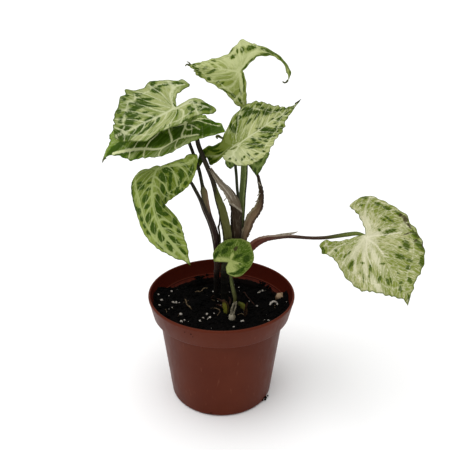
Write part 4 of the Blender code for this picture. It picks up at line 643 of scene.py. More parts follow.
    "leaf_back": dict(
        flat=FLAT_LEAF, slot="mid_leaf", under=(0.2, -0.2, -1.0), waves=(7, 0.6, 0.3),
        ground=(76, 96, 30), mid=(58, 80, 14), dark=(34, 56, 2), loose=0.5, vein_width=0.3, vein_halo=1.0,
        vein_colour=(128, 144, 78), net=(2.6, 0.4, 0.4, 0.4),
        scallop=0.2, peaks=[(-0.42, -0.34, 2.0, 4.0)],
        streaks=[
            (0.30, -0.34, 0.09, 0.035, 100), (0.12, 0.40, 0.08, 0.030, 50), (-0.12, 0.36, 0.08, 0.030, 130),
            (0.20, 0.14, 0.08, 0.030, 40), (-0.20, 0.12, 0.08, 0.030, 140), (0.08, 0.66, 0.06, 0.020, 60),
            (-0.08, 0.62, 0.06, 0.020, 120), (-0.34, -0.30, 0.10, 0.030, 80), (0.25, 0.36, 0.07, 0.020, 60),
            (-0.24, 0.34, 0.07, 0.020, 120), (0.33, -0.06, 0.08, 0.024, 100),
            (-0.33, -0.06, 0.08, 0.024, 80)],
        tints=[(0.3, -0.2, 0.2, 0.1, 100), (-0.3, -0.2, 0.2, 0.1, 80)]),
    "leaf_right": dict(
        flat=FLAT_LEAF, slot="cream_leaf", under=(-0.3, 0.7, -0.6), waves=(11, 0.7, 1.0),
        ground=(172, 172, 120), mid=(114, 126, 46), dark=(64, 82, 10), loose=0.5, vein_width=-0.1,
        vein_halo=0.6,
        vein_colour=(220, 216, 186), mottle=0.8, ragged=1.9, net=(2.0, 0.5, 0.5, 0.4), light_share=0.7,
        striped=0.5, bold=-0.15,
        lights=[(0.02, 0.05, 0.13, 0.09, 60), (0.12, 0.02, 0.2, 0.05, 5), (-0.08, -0.1, 0.16, 0.06, 50),
                (0.06, 0.3, 0.16, 0.03, 85), (0.16, 0.2, 0.16, 0.03, 60), (-0.1, 0.1, 0.16, 0.03, 150),
                (0.22, 0.5, 0.1, 0.03, 85), (0.26, 0.1, 0.1, 0.02, 60)],
        scallop=0.28, peaks=[
            (0.44, -0.34, 2.2, 2.2), (0.30, -0.44, 2.0, 2.4), (0.37, -0.46, -0.8, 1.5),
            (-0.40, 0.19, -1.0, 1.5), (-0.41, 0.11, 0.8, 1.5), (-0.36, -0.47, 1.6, 2.0),
            (-0.41, -0.40, 0.8, 2.0)],
        streaks=[
            (-0.095, 0.735, 0.05, 0.021, 75), (0.02, 0.78, 0.035, 0.020, 60), (-0.02, 0.73, 0.02, 0.017, 0),
            (-0.05, 0.61, 0.018, 0.010, 150), (-0.14, 0.57, 0.026, 0.021, 90),
            (-0.125, 0.44, 0.05, 0.026, 120), (-0.17, 0.50, 0.03, 0.015, 130),
            (-0.22, 0.345, 0.055, 0.026, 70), (-0.165, 0.35, 0.016, 0.011, 0),
            (-0.315, 0.38, 0.075, 0.031, 85), (-0.35, 0.28, 0.04, 0.026, 90), (-0.25, 0.54, 0.06, 0.020, 70),
            (-0.19, 0.16, 0.055, 0.024, 160), (-0.14, 0.17, 0.03, 0.013, 170),
            (-0.125, 0.08, 0.022, 0.013, 90), (-0.39, 0.06, 0.035, 0.020, 90),
            (-0.38, -0.04, 0.045, 0.026, 92), (-0.38, -0.13, 0.035, 0.024, 90),
            (-0.315, -0.28, 0.024, 0.018, 90), (-0.42, -0.30, 0.06, 0.024, 75),
            (0.09, 0.615, 0.045, 0.021, 92), (0.05, 0.64, 0.045, 0.014, 75), (0.15, 0.50, 0.035, 0.022, 0),
            (0.16, 0.33, 0.04, 0.019, 60), (0.22, 0.36, 0.017, 0.012, 0), (0.035, 0.43, 0.035, 0.009, 140),
            (0.31, 0.09, 0.045, 0.026, 0), (0.27, -0.03, 0.04, 0.013, 5), (0.33, -0.04, 0.03, 0.011, 20),
            (0.34, -0.21, 0.035, 0.021, 60), (0.41, -0.36, 0.06, 0.024, 62), (-0.01, 0.91, 0.045, 0.012, 90),
            (-0.28, 0.06, 0.07, 0.013, 90), (-0.24, 0.02, 0.03, 0.013, 90), (0.28, 0.30, 0.04, 0.009, 50),
            (0.20, 0.20, 0.03, 0.009, 120)],
        tints=[
            (0.12, 0.58, 0.13, 0.07, 100), (-0.27, 0.06, 0.12, 0.06, 80), (-0.36, -0.12, 0.22, 0.08, 90),
            (0.20, -0.20, 0.16, 0.045, 115), (0.28, -0.33, 0.16, 0.06, 110), (-0.30, 0.46, 0.16, 0.06, 72),
            (0.0, 0.83, 0.20, 0.12, 90), (-0.12, 0.5, 0.16, 0.08, 110), (0.31, 0.06, 0.08, 0.06, 0),
            (0.1, 0.68, 0.22, 0.12, 115), (0.38, -0.2, 0.16, 0.05, 100), (0.05, 0.8, 0.14, 0.12, 100),
            (-0.34, 0.3, 0.16, 0.05, 80)],
        dry=[(-0.385, 0.14, 0.035, 0.022, 40), (-0.365, 0.20, 0.03, 0.012, 80),
             (-0.30, 0.25, 0.06, 0.008, 175), (-0.39, 0.09, 0.02, 0.016, 0), (-0.33, 0.40, 0.04, 0.010, 60),
             (-0.36, 0.30, 0.05, 0.008, 90), (-0.31, 0.33, 0.03, 0.008, 20), (0.2, -0.16, 0.012, 0.006, 20),
             (0.24, -0.12, 0.012, 0.006, 70), (0.27, -0.19, 0.010, 0.006, 0), (-0.27, 0.3, 0.012, 0.007, 40),
             (-0.28, 0.44, 0.014, 0.006, 30), (-0.05, 0.2, 0.014, 0.005, 60)],
        veins=[(0.3, [(0.03, -0.02), (0.015, 0.10), (-0.01, 0.22), (-0.02, 0.37)]),
               (0.3, [(0.0, 0.02), (0.10, 0.16), (0.14, 0.34)]),
               (0.3, [(0.0, 0.05), (-0.12, 0.16), (-0.26, 0.22)])]),
    "leaf_seedling": dict(
        flat=FLAT_ROUND_LEAF, slot="mid_leaf", under=(0.2, 0.8, -0.5), waves=(5, 0.3, 0.5),
        ground=(76, 100, 20), mid=(58, 84, 8), dark=(36, 60, 0), loose=0.6, vein_width=-2.0, vein_halo=0.7,
        vein_colour=(162, 172, 102), rim=(120, 132, 66), net=(1.4, 0.7, 0.4, 0.35), light_share=1.0, bold=0.2,
        scallop=0.04, peaks=[],
        streaks=[
            (0.045, 0.40, 0.19, 0.034, 88), (-0.265, 0.07, 0.10, 0.040, 80), (0.22, 0.42, 0.13, 0.050, 112),
            (0.36, 0.0, 0.12, 0.030, 92), (0.225, 0.15, 0.022, 0.018, 0), (-0.30, 0.32, 0.12, 0.030, 75),
            (-0.36, -0.22, 0.12, 0.026, 88), (0.36, -0.24, 0.12, 0.024, 92)],
        tints=[(0.42, -0.1, 0.3, 0.03, 92), (-0.42, 0.0, 0.3, 0.03, 88), (0.0, 0.66, 0.3, 0.06, 0)],
        dry=[(-0.135, 0.475, 0.10, 0.042, 86)],
        lights=[
            (-0.12, -0.11, 0.20, 0.07, 50), (-0.26, -0.28, 0.14, 0.06, 55), (0.12, -0.08, 0.18, 0.1, 135),
            (0.24, -0.20, 0.20, 0.17, 125), (0.32, -0.36, 0.12, 0.10, 120), (0.16, 0.10, 0.12, 0.03, 40),
            (-0.06, 0.16, 0.12, 0.03, 100)],
        veins=[
            (0.25, [(0.0, 0.02), (-0.03, 0.12), (-0.05, 0.26)]),
            (0.2, [(0.02, 0.05), (0.12, 0.13), (0.22, 0.18)])]),
}

# Loose threads, curls and torn flaps: flatness from front to back, then x, y, z and half width
PALE_WISPS = [
    (0.6, [(1.4, 0.2, 151.5, 0.3), (2.8, 0.0, 153.2, 0.36), (3.9, 0.2, 153.9, 0.4), (5.4, 0.8, 151.8, 0.5),
           (6.6, 1.3, 150.5, 0.45), (10.1, 1.5, 146.5, 0.4), (14.1, 2.9, 142.8, 0.35)]),
    (0.7, [(9.6, 0.3, 153.2, 0.22), (6.4, -1.7, 159.6, 0.22), (1.0, -3.9, 166.2, 0.2),
           (-3.4, -5.3, 172.4, 0.16), (-7.6, -6.0, 178.2, 0.1)]),
    (0.7, [(5.4, 0.4, 153.4, 0.2), (2.4, -1.6, 157.6, 0.2), (-2.0, -3.8, 163.9, 0.18),
           (-5.6, -5.2, 170.9, 0.14), (-8.2, -5.9, 176.0, 0.1)]),
    (0.25, [(33.5, 7.0, 121.0, 0.5), (38.0, 6.5, 122.8, 0.9), (44.0, 6.0, 124.1, 1.0),
            (50.0, 5.6, 125.3, 0.7), (53.6, 5.3, 126.6, 0.2)]),
    (0.5, [(27.4, 18.4, 156.2, 0.5), (26.2, 18.2, 158.0, 0.35), (25.4, 18.0, 159.3, 0.12)]),
    (0.5, [(26.9, 17.4, 151.0, 0.6), (25.6, 17.0, 149.4, 0.4), (24.7, 16.8, 149.6, 0.15)]),
    (0.5, [(25.9, 15.8, 146.6, 0.8), (24.5, 15.2, 145.2, 0.5), (23.6, 15.0, 145.8, 0.15)])]
DARK_WISPS = [
    (0.6, [(-1.4, 6.4, 138.2, 0.3), (-1.5, 6.4, 132.1, 0.6), (-2.2, 6.4, 129.4, 0.75),
           (-1.5, 6.6, 125.2, 0.6), (-1.2, 6.9, 119.0, 0.9), (-1.8, 7.4, 113.5, 0.6)]),
    (0.7, [(48.2, 14.0, 214.6, 0.5), (50.4, 15.2, 215.9, 0.35), (52.4, 16.3, 217.2, 0.18)])]
GREEN_WISPS = [
    (0.8, [(42.9, 14.6, 229.8, 0.7), (42.0, 14.3, 228.6, 0.6), (40.6, 14.0, 228.2, 0.5),
           (39.4, 14.0, 229.0, 0.4)]),
    (0.6, [(-19.4, 0.6, 240.9, 0.7), (-21.4, 0.2, 241.6, 0.5), (-22.6, -0.1, 240.6, 0.25)]),
    (0.6, [(-19.2, 0.8, 241.4, 0.5), (-20.4, 0.4, 242.9, 0.35), (-21.6, 0.2, 243.2, 0.2)]),
    (0.6, [(4.2, 6.4, 190.6, 1.0), (1.6, 5.8, 193.0, 0.8), (-0.5, 5.2, 194.2, 0.8), (-2.2, 4.8, 195.2, 1.0),
           (-3.4, 4.6, 194.8, 0.7), (-2.6, 4.5, 193.4, 0.4)]),
    (0.7, [(-72.4, -17.8, 187.4, 0.8), (-73.8, -18.0, 186.2, 0.6), (-74.6, -18.2, 184.2, 0.25)])]

SEEDLING_ROOTS = [
    (1.0, [(9.8, -12.3, 81.0, 0.8), (8.2, -12.5, 77.5, 0.65), (7.0, -12.7, 74.0, 0.6),
           (6.9, -12.6, 70.0, 0.7)]),
    (1.0, [(10.0, -12.2, 80.6, 0.8), (10.2, -12.4, 77.0, 0.6), (9.4, -12.7, 74.0, 0.55),
           (8.6, -12.6, 70.0, 0.7)])]

# Dead roots and husks round the foot of the stems, with one red-brown root that arches out to the right
BROWN_DEBRIS = [
    (0.7, [(-3.5, 12.5, 68.5, 0.4), (-1.5, 9.0, 69.5, 0.8), (1.0, 7.0, 68.5, 0.9), (2.5, 5.0, 66.0, 0.5)]),
    (0.7, [(-8.0, 16.0, 66.0, 0.4), (-7.0, 13.5, 68.5, 0.8), (-6.0, 12.5, 71.0, 0.5)]),
    (0.6, [(5.5, 10.5, 71.0, 0.4), (6.5, 8.0, 69.5, 0.8), (6.0, 5.5, 67.5, 0.7), (5.0, 3.5, 65.0, 0.4)]),
    (0.7, [(-5.0, 6.0, 66.0, 0.4), (-2.5, 4.0, 68.0, 0.6), (0.5, 2.0, 67.5, 0.6), (2.5, 0.5, 65.5, 0.4)]),
    (0.5, [(18.6, -9.4, 78.0, 0.3), (17.6, -9.7, 75.5, 0.9), (17.0, -9.7, 71.5, 0.7),
           (16.8, -9.6, 68.0, 0.4)]),
    (1.0, [(16.5, 25.0, 66.0, 0.35), (17.6, 21.0, 68.8, 0.4), (19.0, 16.5, 68.6, 0.4),
           (22.4, 10.0, 67.4, 0.4), (25.0, 6.5, 66.0, 0.35)])]


# Colours and node trees

def paint(red, green, blue):
    """A colour as seen, 0 to 255, as the linear colour that shaders take."""
    seen = (red / 255.0, green / 255.0, blue / 255.0)
    linear = [v / 12.92 if v <= 0.04045 else ((v + 0.055) / 1.055) ** 2.4 for v in seen]
    return (*linear, 1.0)


class Nodes:
    """A short way to write a material's node tree."""

    def __init__(self, name):
        self.material = bpy.data.materials.new(name)
        self.material.use_nodes = True
        self.tree = self.material.node_tree
        self.shader = self.tree.nodes["Principled BSDF"]

    def put(self, socket, value):
        if isinstance(value, bpy.types.NodeSocket):
            self.tree.links.new(value, socket)
        else:
            socket.default_value = value

    def node(self, kind, inputs=None, **settings):
        made = self.tree.nodes.new(kind)
        for key, value in settings.items():
            setattr(made, key, value)
        for key, value in (inputs or {}).items():
            self.put(made.inputs[key], value)
        return made

    def attribute(self, name, output="Fac"):
        return self.node("ShaderNodeAttribute", attribute_name=name).outputs[output]

    def place(self):
        return self.node("ShaderNodeTexCoord").outputs["Object"]

    def math(self, operation, a, b=0.0):
        return self.node("ShaderNodeMath", {0: a, 1: b}, operation=operation).outputs[0]

    def add(self, a, b):
        return self.math("ADD", a, b)

    def times(self, a, b):
        return self.math("MULTIPLY", a, b)

    def larger(self, a, b):
        return self.math("MAXIMUM", a, b)

    def scaled(self, vector, x, y, z):
        return self.node("ShaderNodeVectorMath", {0: vector, 1: (x, y, z)}, operation="MULTIPLY").outputs[0]

    def noise(self, vector, scale, detail=3.0, roughness=0.55):
        inputs = {"Vector": vector, "Scale": scale, "Detail": detail, "Roughness": roughness}
        return self.node("ShaderNodeTexNoise", inputs, noise_type="FBM").outputs["Fac"]

    def cells(self, vector, scale, feature, output):
        inputs = {"Vector": vector, "Scale": scale}
        return self.node("ShaderNodeTexVoronoi", inputs, feature=feature).outputs[output]

    def step(self, value, low, high, start=0.0, end=1.0):
        inputs = {0: value, 1: low, 2: high, 3: start, 4: end}
        return self.node("ShaderNodeMapRange", inputs, interpolation_type="SMOOTHSTEP").outputs[0]

    def mix(self, share, a, b):
        return self.node("ShaderNodeMix", {0: share, 6: a, 7: b}, data_type="RGBA").outputs[2]

    def ramp(self, share, shades):
        """Colours along a share of the way, from rows of share, red, green and blue."""
        made = self.node("ShaderNodeValToRGB", {0: share})
        line = made.color_ramp.elements
        for row in shades[1:-1]:
            line.new(row[0])
        for element, (place, *rgb) in zip(line, shades):
            element.position = place
            element.color = paint(*rgb)
        return made.outputs[0]

    def bump(self, height, strength, distance, below=None):
        inputs = {"Strength": strength, "Distance": distance, "Height": height}
        if below is not None:
            inputs["Normal"] = below
        return self.node("ShaderNodeBump", inputs).outputs[0]

    def finish(self, colour, roughness, normal=None, gloss=0.15):
        self.put(self.shader.inputs["Base Color"], colour)
        self.put(self.shader.inputs["Roughness"], roughness)
        if normal is not None:
            self.put(self.shader.inputs["Normal"], normal)
        self.shader.inputs["Specular IOR Level"].default_value = gloss
        return self.material


# Shared shapes

def add_piece(name, points, faces, material, values=None, replaced=None):
    """A smooth mesh from points in millimetres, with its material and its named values."""
    mesh = bpy.data.meshes.new(name)
    mesh.from_pydata((np.array(points, float) * MM).tolist(), [], faces)
    mesh.update()
    mesh.shade_smooth()
    mesh.materials.append(material)
    for key, numbers in (values or {}).items():
        numbers = np.array(numbers, float)
        kind, field = ("FLOAT_VECTOR", "vector") if numbers.ndim == 2 else ("FLOAT", "value")
        mesh.attributes.new(key, kind, "POINT").data.foreach_set(field, numbers.ravel())
    piece = bpy.data.objects.new(name, mesh)
    bpy.context.scene.collection.objects.link(piece)
    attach(piece, "root")
    if replaced:
        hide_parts(replaced)
    return piece


def rough(point, size, seed=0.0):
    """Smooth noise between -1 and 1 at a place, with bumps of about that size."""
    return noise.noise(Vector(point) / size + Vector((seed, seed * 1.7, seed * 0.6)))


def turns(count):
    """Evenly spaced angles of one full turn."""
    return [2.0 * math.pi * k / count for k in range(count)]


def polar(radius, angle):
    """The x and y of a place at a radius and an angle."""
    return radius * math.cos(angle), radius * math.sin(angle)


def smooth_path(points, steps):
    """Points on a Catmull-Rom curve through the given rows of numbers."""
    rows = np.array(points, float)
    rows = np.vstack([2 * rows[0] - rows[1], rows, 2 * rows[-1] - rows[-2]])
    made = []
    for i in range(1, len(rows) - 2):
        before, start, end, after = rows[i - 1:i + 3]
        for t in np.arange(steps) / steps:
            made.append(0.5 * (2 * start + (end - before) * t
                               + (2 * before - 5 * start + 4 * end - after) * t ** 2
                               + (3 * start - before - 3 * end + after) * t ** 3))
    made.append(rows[-2])
    return np.array(made)


def run_lengths(points):
    """How far along a line each of its points lies, from 0 at the first."""
    return np.concatenate([[0.0], np.cumsum(np.linalg.norm(np.diff(points, axis=0), axis=1))])


def path_frames(stations):
    """Two directions square to a path at each of its stations: out to the front, and across."""
    facing = Vector((0.0, -1.0, 0.1)).normalized()
    frames = []
    for i in range(len(stations)):
        before, after = stations[max(i - 1, 0)], stations[min(i + 1, len(stations) - 1)]
        along = Vector(after[:3] - before[:3]).normalized()
        out = (facing - along * facing.dot(along)).normalized()
        frames.append((out, along.cross(out)))
    return frames


def ring_faces(start, rings, sides, rising=False):
    """Quads between rings of points that follow one another from start. Rising turns them over."""
    faces = []
    for ring in range(rings - 1):
        for k in range(sides):
            a = start + ring * sides + k
            b = start + ring * sides + (k + 1) % sides
            faces.append((a, b, b + sides, a + sides) if rising else (a, a + sides, b + sides, b))
    return faces


def rod_faces(start, rings, sides, rising=False):
    """The faces of a rod of such rings, with its two ends closed."""
    first = tuple(range(start, start + sides))
    last = tuple(range(start + (rings - 1) * sides, start + rings * sides))
    ends = [first[::-1], last] if rising else [first, last[::-1]]
    return ring_faces(start, rings, sides, rising) + ends


def tube(points, faces, route, sides=7, thin=1.0):
    """Add a strand along a route of x, y, z and radius to the lists of a mesh. Thin flattens it."""
    stations = smooth_path(route, 6)
    start = len(points)
    for station, (out, across) in zip(stations, path_frames(stations)):
        for angle in turns(sides):
            aside = across * math.cos(angle) + out * math.sin(angle) * thin
            points.append(Vector(station[:3]) + aside * station[3])
    faces.extend(rod_faces(start, len(stations), sides))


def icosahedron():
    """The points and faces of a lump before it is pushed about."""
    made = bmesh.new()
    bmesh.ops.create_icosphere(made, subdivisions=1, radius=1.0)
    made.verts.ensure_lookup_table()
    points = [tuple(vertex.co) for vertex in made.verts]
    faces = [tuple(vertex.index for vertex in face.verts) for face in made.faces]
    made.free()
    return points, faces


LUMP_POINTS, LUMP_FACES = icosahedron()


def lump_mesh(points, faces, centre, size, squash, seed, stretch=1.0):
    """Add one irregular lump, an icosahedron with its corners pushed about, to the lists of a mesh."""
    start = len(points)
    turn = seed * 2.3
    ahead = Vector((math.cos(turn), math.sin(turn), 0.0))
    for corner in LUMP_POINTS:
        push = 1.0 + 0.6 * rough(corner, 0.8, seed)
        spot = Vector(corner) * size * push
        spot += ahead * spot.dot(ahead) * (stretch - 1.0)
        points.append((centre[0] + spot.x, centre[1] + spot.y, centre[2] + spot.z * squash))
    faces.extend(tuple(start + i for i in face) for face in LUMP_FACES)


def mottled_material(name, low, high, scale, roughness):
    """Two mottled tones with a rough surface, for small natural bits."""
    n = Nodes(name)
    mottle = n.noise(n.place(), scale, 4.0, 0.65)
    colour = n.mix(n.step(mottle, 0.35, 0.65), paint(*low), paint(*high))
    return n.finish(colour, roughness, n.bump(mottle, 0.5, 0.0005), gloss=0.1)


# The sheet that a leaf lies on

def plate_spline(flat, placed):
    """The smoothest sheet through given points: a function from flat places to places in space."""
    flat = np.array(flat, float)
    count = len(flat)

    def pull(a, b):
        square = ((a[:, None] - b[None]) ** 2).sum(2)
        return 0.5 * square * np.log(np.maximum(square, 1e-12))

    matrix = np.zeros((count + 3, count + 3))
    matrix[:count, :count] = pull(flat, flat)
    matrix[:count, count] = 1.0
    matrix[count, :count] = 1.0
    matrix[:count, count + 1:] = flat
    matrix[count + 1:, :count] = flat.T
    weights = np.linalg.solve(matrix, np.vstack([np.array(placed, float), np.zeros((3, 3))]))

    def sheet(places):
        places = np.atleast_2d(np.array(places, float))
        return pull(places, flat) @ weights[:count] + weights[count] + places @ weights[count + 1:]

    return sheet


def leaf_sheet(name):
    """The sheet of one leaf, and the length in millimetres of one flat unit along its midrib."""
    places = dict(LEAVES[name]["flat"], **FLAT_MIDRIB)
    names = list(LANDMARKS[name])
    sheet = plate_spline([places[key] for key in names], [LANDMARKS[name][key] for key in names])
    midrib = sheet([(0.0, v) for v in np.linspace(0.0, places["tip"][1], 30)])
    return sheet, np.linalg.norm(np.diff(midrib, axis=0), axis=1).sum() / places["tip"][1]


def sheet_normal(sheet, places):
    """Unit normals of a sheet at flat places."""
    places = np.atleast_2d(np.array(places, float))
    step = 0.004
    across = sheet(places + (step, 0.0)) - sheet(places - (step, 0.0))
    along = sheet(places + (0.0, step)) - sheet(places - (0.0, step))
    normal = np.cross(across, along)
    return normal / np.linalg.norm(normal, axis=1)[:, None]


# The margin and the mesh of a blade

def flat_margin(look, unit):
    """The scalloped margin of a flat blade as evenly spaced points, and how far round each lies."""
    flat = look["flat"]
    names = list(flat)
    middle = names.index("tip")
    right = smooth_path([flat[name] for name in names[:middle + 1]], 16)
    left = smooth_path([flat[name] for name in names[middle:] + ["sinus"]], 16)
    margin = np.vstack([right, left[1:]])
    lengths = run_lengths(margin)
    whole, tip_length = lengths[-1], lengths[len(right) - 1]
    count = int(round(whole * unit / FACE_PITCH))
    tip_step = int(round(count * tip_length / whole))
    wanted = np.concatenate([np.linspace(0.0, tip_length, tip_step, endpoint=False),
                             np.linspace(tip_length, whole, count - tip_step, endpoint=False)])
    points = np.stack([np.interp(wanted, lengths, margin[:, k]) for k in (0, 1)], 1)
    return points + margin_push(look, unit, points, wanted, whole, tip_length), wanted / whole


def margin_push(look, unit, points, wanted, whole, tip_length):
    """How far each point of the margin moves out: scallops that calm down at the tip and notch, and peaks."""
    ahead = np.roll(points, -1, axis=0) - np.roll(points, 1, axis=0)
    outward = np.stack([ahead[:, 1], -ahead[:, 0]], 1)
    outward /= np.linalg.norm(outward, axis=1)[:, None]
    from_ends = np.minimum(abs(wanted - tip_length), np.minimum(wanted, whole - wanted))
    calm = np.clip(from_ends * unit / CALM_LENGTH, 0.0, 1.0)
    slow = np.array([rough((w * unit, unit, 0.0), 4.1) for w in wanted])
    quick = np.array([rough((w * unit, 0.0, unit), 1.5) for w in wanted])
    scallop = np.sin(2.0 * math.pi * wanted * unit / SCALLOP_LENGTH + 2.0 * slow) + 1.4 * slow + 0.8 * quick
    push = look["scallop"] * scallop * calm
    for u, v, height, reach in look["peaks"]:
        push += height * np.exp(-(np.linalg.norm(points - (u, v), axis=1) * unit / reach) ** 2)
    return outward * (push / unit)[:, None]


def are_inside(margin, places):
    """Which flat places lie inside the margin: an upward ray from them crosses the margin an odd count."""
    ahead = np.roll(margin, -1, axis=0)
    crossings = np.zeros(len(places), int)
    for start, end in zip(margin, ahead):
        if start[0] == end[0]:
            continue
        spans = (start[0] > places[:, 0]) != (end[0] > places[:, 0])
        height = start[1] + (places[:, 0] - start[0]) * (end[1] - start[1]) / (end[0] - start[0])
        crossings += spans & (height > places[:, 1])
    return crossings % 2 == 1


def blade_grid(margin, unit):
    """The flat places of a blade's points, the margin's among them, and the triangles between them."""
    gap = FACE_PITCH / unit
    low, high = margin.min(axis=0), margin.max(axis=0)
    rows = []
    for row, v in enumerate(np.arange(low[1], high[1], gap * 0.87)):
        us = np.arange(low[0] + (row % 2) * gap / 2, high[0], gap)
        rows.append(np.stack([us, np.full(len(us), v)], 1))
    inner = np.vstack(rows)
    inner = inner[are_inside(margin, inner)]
    clear = np.array([np.linalg.norm(margin - place, axis=1).min() for place in inner]) > gap * 0.6
    flat = [Vector(point) for point in np.vstack([margin, inner[clear]])]
    filled = delaunay_2d_cdt(flat, [], [list(range(len(margin)))], 1, 1e-6)
    return np.array(filled[0]), np.array(filled[2])


def closed_faces(triangles, total):
    """The faces of a thin solid: triangles above, the same turned over below, and quads round its edge."""
    above = [tuple(face) for face in triangles.tolist()]
    below = [tuple(face) for face in (triangles[:, ::-1] + total).tolist()]
    edges = [pair for a, b, c in above for pair in ((a, b), (b, c), (c, a))]
    known = set(edges)
    return above + below + [(b, a, a + total, b + total) for a, b in edges if (b, a) not in known]


# The marks of a blade

def line_gap(places, line):
    """Distance of flat places from a line of points, and the share of its length at the nearest one."""
    line = np.array(line, float)
    lengths = np.linalg.norm(np.diff(line, axis=0), axis=1)
    total, run = lengths.sum(), 0.0
    best = np.full(len(places), 9.0)
    share = np.zeros(len(places))
    for start, end, length in zip(line[:-1], line[1:], lengths):
        along = np.clip((places - start) @ (end - start) / length ** 2, 0.0, 1.0)
        gap = np.linalg.norm(places - start - along[:, None] * (end - start), axis=1)
        nearer = gap < best
        best[nearer] = gap[nearer]
        share[nearer] = (run + along[nearer] * length) / total
        run += length
    return best, share


def vein_gaps(look, places, unit, rim):
    """Millimetres from flat places to the nearest vein's edge, and the flow across and along the veins."""
    u, v = places[:, 0], places[:, 1]
    aside = abs(u)
    rise = v - FLAT_MIDRIB["joint"][1]
    fan = np.arctan2(rise, aside)
    first = math.atan(FAN_SLOPE)
    curve = VEIN_CURVE * aside ** 2
    across = np.where(fan > first, rise - FAN_SLOPE * aside - curve, (fan - first) * FAN_PITCH - curve)
    along = np.hypot(aside, rise * (fan <= first) + FAN_SLOPE * aside * (fan > first))
    width = look["vein_width"]
    wander = np.array([rough((a, b, 0.0), 0.16, 3.0) for a, b in places])
    phase = across / VEIN_SPACING + 0.16 * wander
    taper = np.clip(1.0 - along * 1.6, 0.25, 1.0)
    lateral = abs(phase - np.round(phase)) * VEIN_SPACING * unit * 0.7 - width * taper
    midrib = aside * unit - width * (1.9 - 1.3 * np.clip(v, 0.0, 1.0)) + 9.0 * (v < 0.0)
    collective = abs(rim - COLLECTIVE_VEIN * unit * (1.0 + 0.3 * wander)) - width * 0.5
    gap = np.minimum(np.minimum(lateral, midrib), collective)
    for side in (-1.0, 1.0):
        distance, share = line_gap(places, smooth_path([(side * u, v) for u, v in LOBE_RIB], 5))
        gap = np.minimum(gap, distance * unit - width * (1.6 - share))
    for half_width, line in look.get("veins", []):
        distance, share = line_gap(places, smooth_path(line, 5))
        gap = np.minimum(gap, distance * unit - half_width * (1.1 - 0.4 * share))
    return gap, np.stack([across * unit, along * unit, np.sign(u) * 40.0], 1)


def patch_field(patches, places):
    """How deep each flat place lies in a patch: 1 in its middle, 0 at its edge, below 0 outside."""
    best = np.full(len(places), -3.0)
    for u, v, half_length, half_width, degrees in patches:
        turn = math.radians(degrees)
        offset = places - (u, v)
        along = offset @ (math.cos(turn), math.sin(turn)) / half_length
        aside = offset @ (-math.sin(turn), math.cos(turn)) / half_width
        best = np.maximum(best, 1.0 - np.hypot(along, aside))
    return best


class LeafNodes(Nodes):
    """The node tree of a leaf, with its colours and the noises that its parts share."""

    def __init__(self, name, look):
        super().__init__(name)
        self.look = look
        self.ground, self.mid, self.dark = paint(*look["ground"]), paint(*look["mid"]), paint(*look["dark"])
        self.pale = paint(*look["vein_colour"])
        self.flow = self.attribute("leaf_flow", "Vector")
        self.flat_place = self.attribute("leaf_place", "Vector")
        self.fine = self.add(self.noise(self.flat_place, 0.9, 4.0, 0.65), -0.5)
        self.feather = self.add(self.noise(self.scaled(self.flow, 1.0, 0.4, 1.0), 0.75, 4.0, 0.62), -0.5)
        torn = look.get("ragged", 1.0)
        self.ragged = self.add(self.times(self.fine, torn), self.times(self.feather, 0.8 * torn))
        self.tint = self.attribute("leaf_tint")
        size, stretch, self.green_share, self.line_strength = look["net"]
        self.net_flow = self.scaled(self.flow, 1.0, stretch, 1.0)
        self.net_scale = 1.0 / size


def leaf_ground(n):
    """A leaf's ground: stripes along its veins, soft green tints and cells, mottle and soft lights. The
    tints paint shade on the centre leaf's left lobe, the mottle is partly painted light and shade, and
    the top leaf's lights are partly a painted highlight.
    """
    striped = n.look.get("striped", 1.0)
    stripe = n.noise(n.scaled(n.flow, 1.0, 0.3, 1.0), 1.0, 4.0, 0.6)
    colour = n.mix(n.step(stripe, 0.46, 0.34, 0.0, 0.8 * striped), n.ground, n.pale)
    # Soft green tints, which on the centre leaf's left lobe are painted shade
    green = n.larger(n.step(n.add(n.tint, n.ragged), -0.6, 0.4, 0.0, 0.75),
                     n.step(stripe, 0.49, 0.66, 0.0, 0.6 * striped))
    colour = n.mix(green, colour, n.mid)
    cell = n.cells(n.net_flow, n.net_scale, "F1", "Color")
    chance = n.add(cell, n.step(n.tint, -1.0, 0.5, 0.0, 0.3))
    colour = n.mix(n.step(chance, 1.0 - n.green_share, 1.1 - n.green_share, 0.0, 0.6), colour, n.mid)
    if "mottle" in n.look:
        # Mottle: partly the leaf's own blotches, partly painted light and shade of a crinkled surface
        crumple = n.noise(n.scaled(n.flow, 1.0, 0.5, 1.0), 0.6, 4.0, 0.72)
        colour = n.mix(n.step(crumple, 0.50, 0.62, 0.0, n.look["mottle"]), colour, n.mid)
        colour = n.mix(n.step(crumple, 0.46, 0.34, 0.0, n.look["mottle"]), colour, n.pale)
    # Soft pale lights, which on the top leaf's crest are partly a painted highlight
    light = n.add(n.attribute("leaf_light"), n.ragged)
    return n.mix(n.step(light, -0.7, 0.5, 0.0, n.look.get("light_share", 0.85)), colour, n.pale)


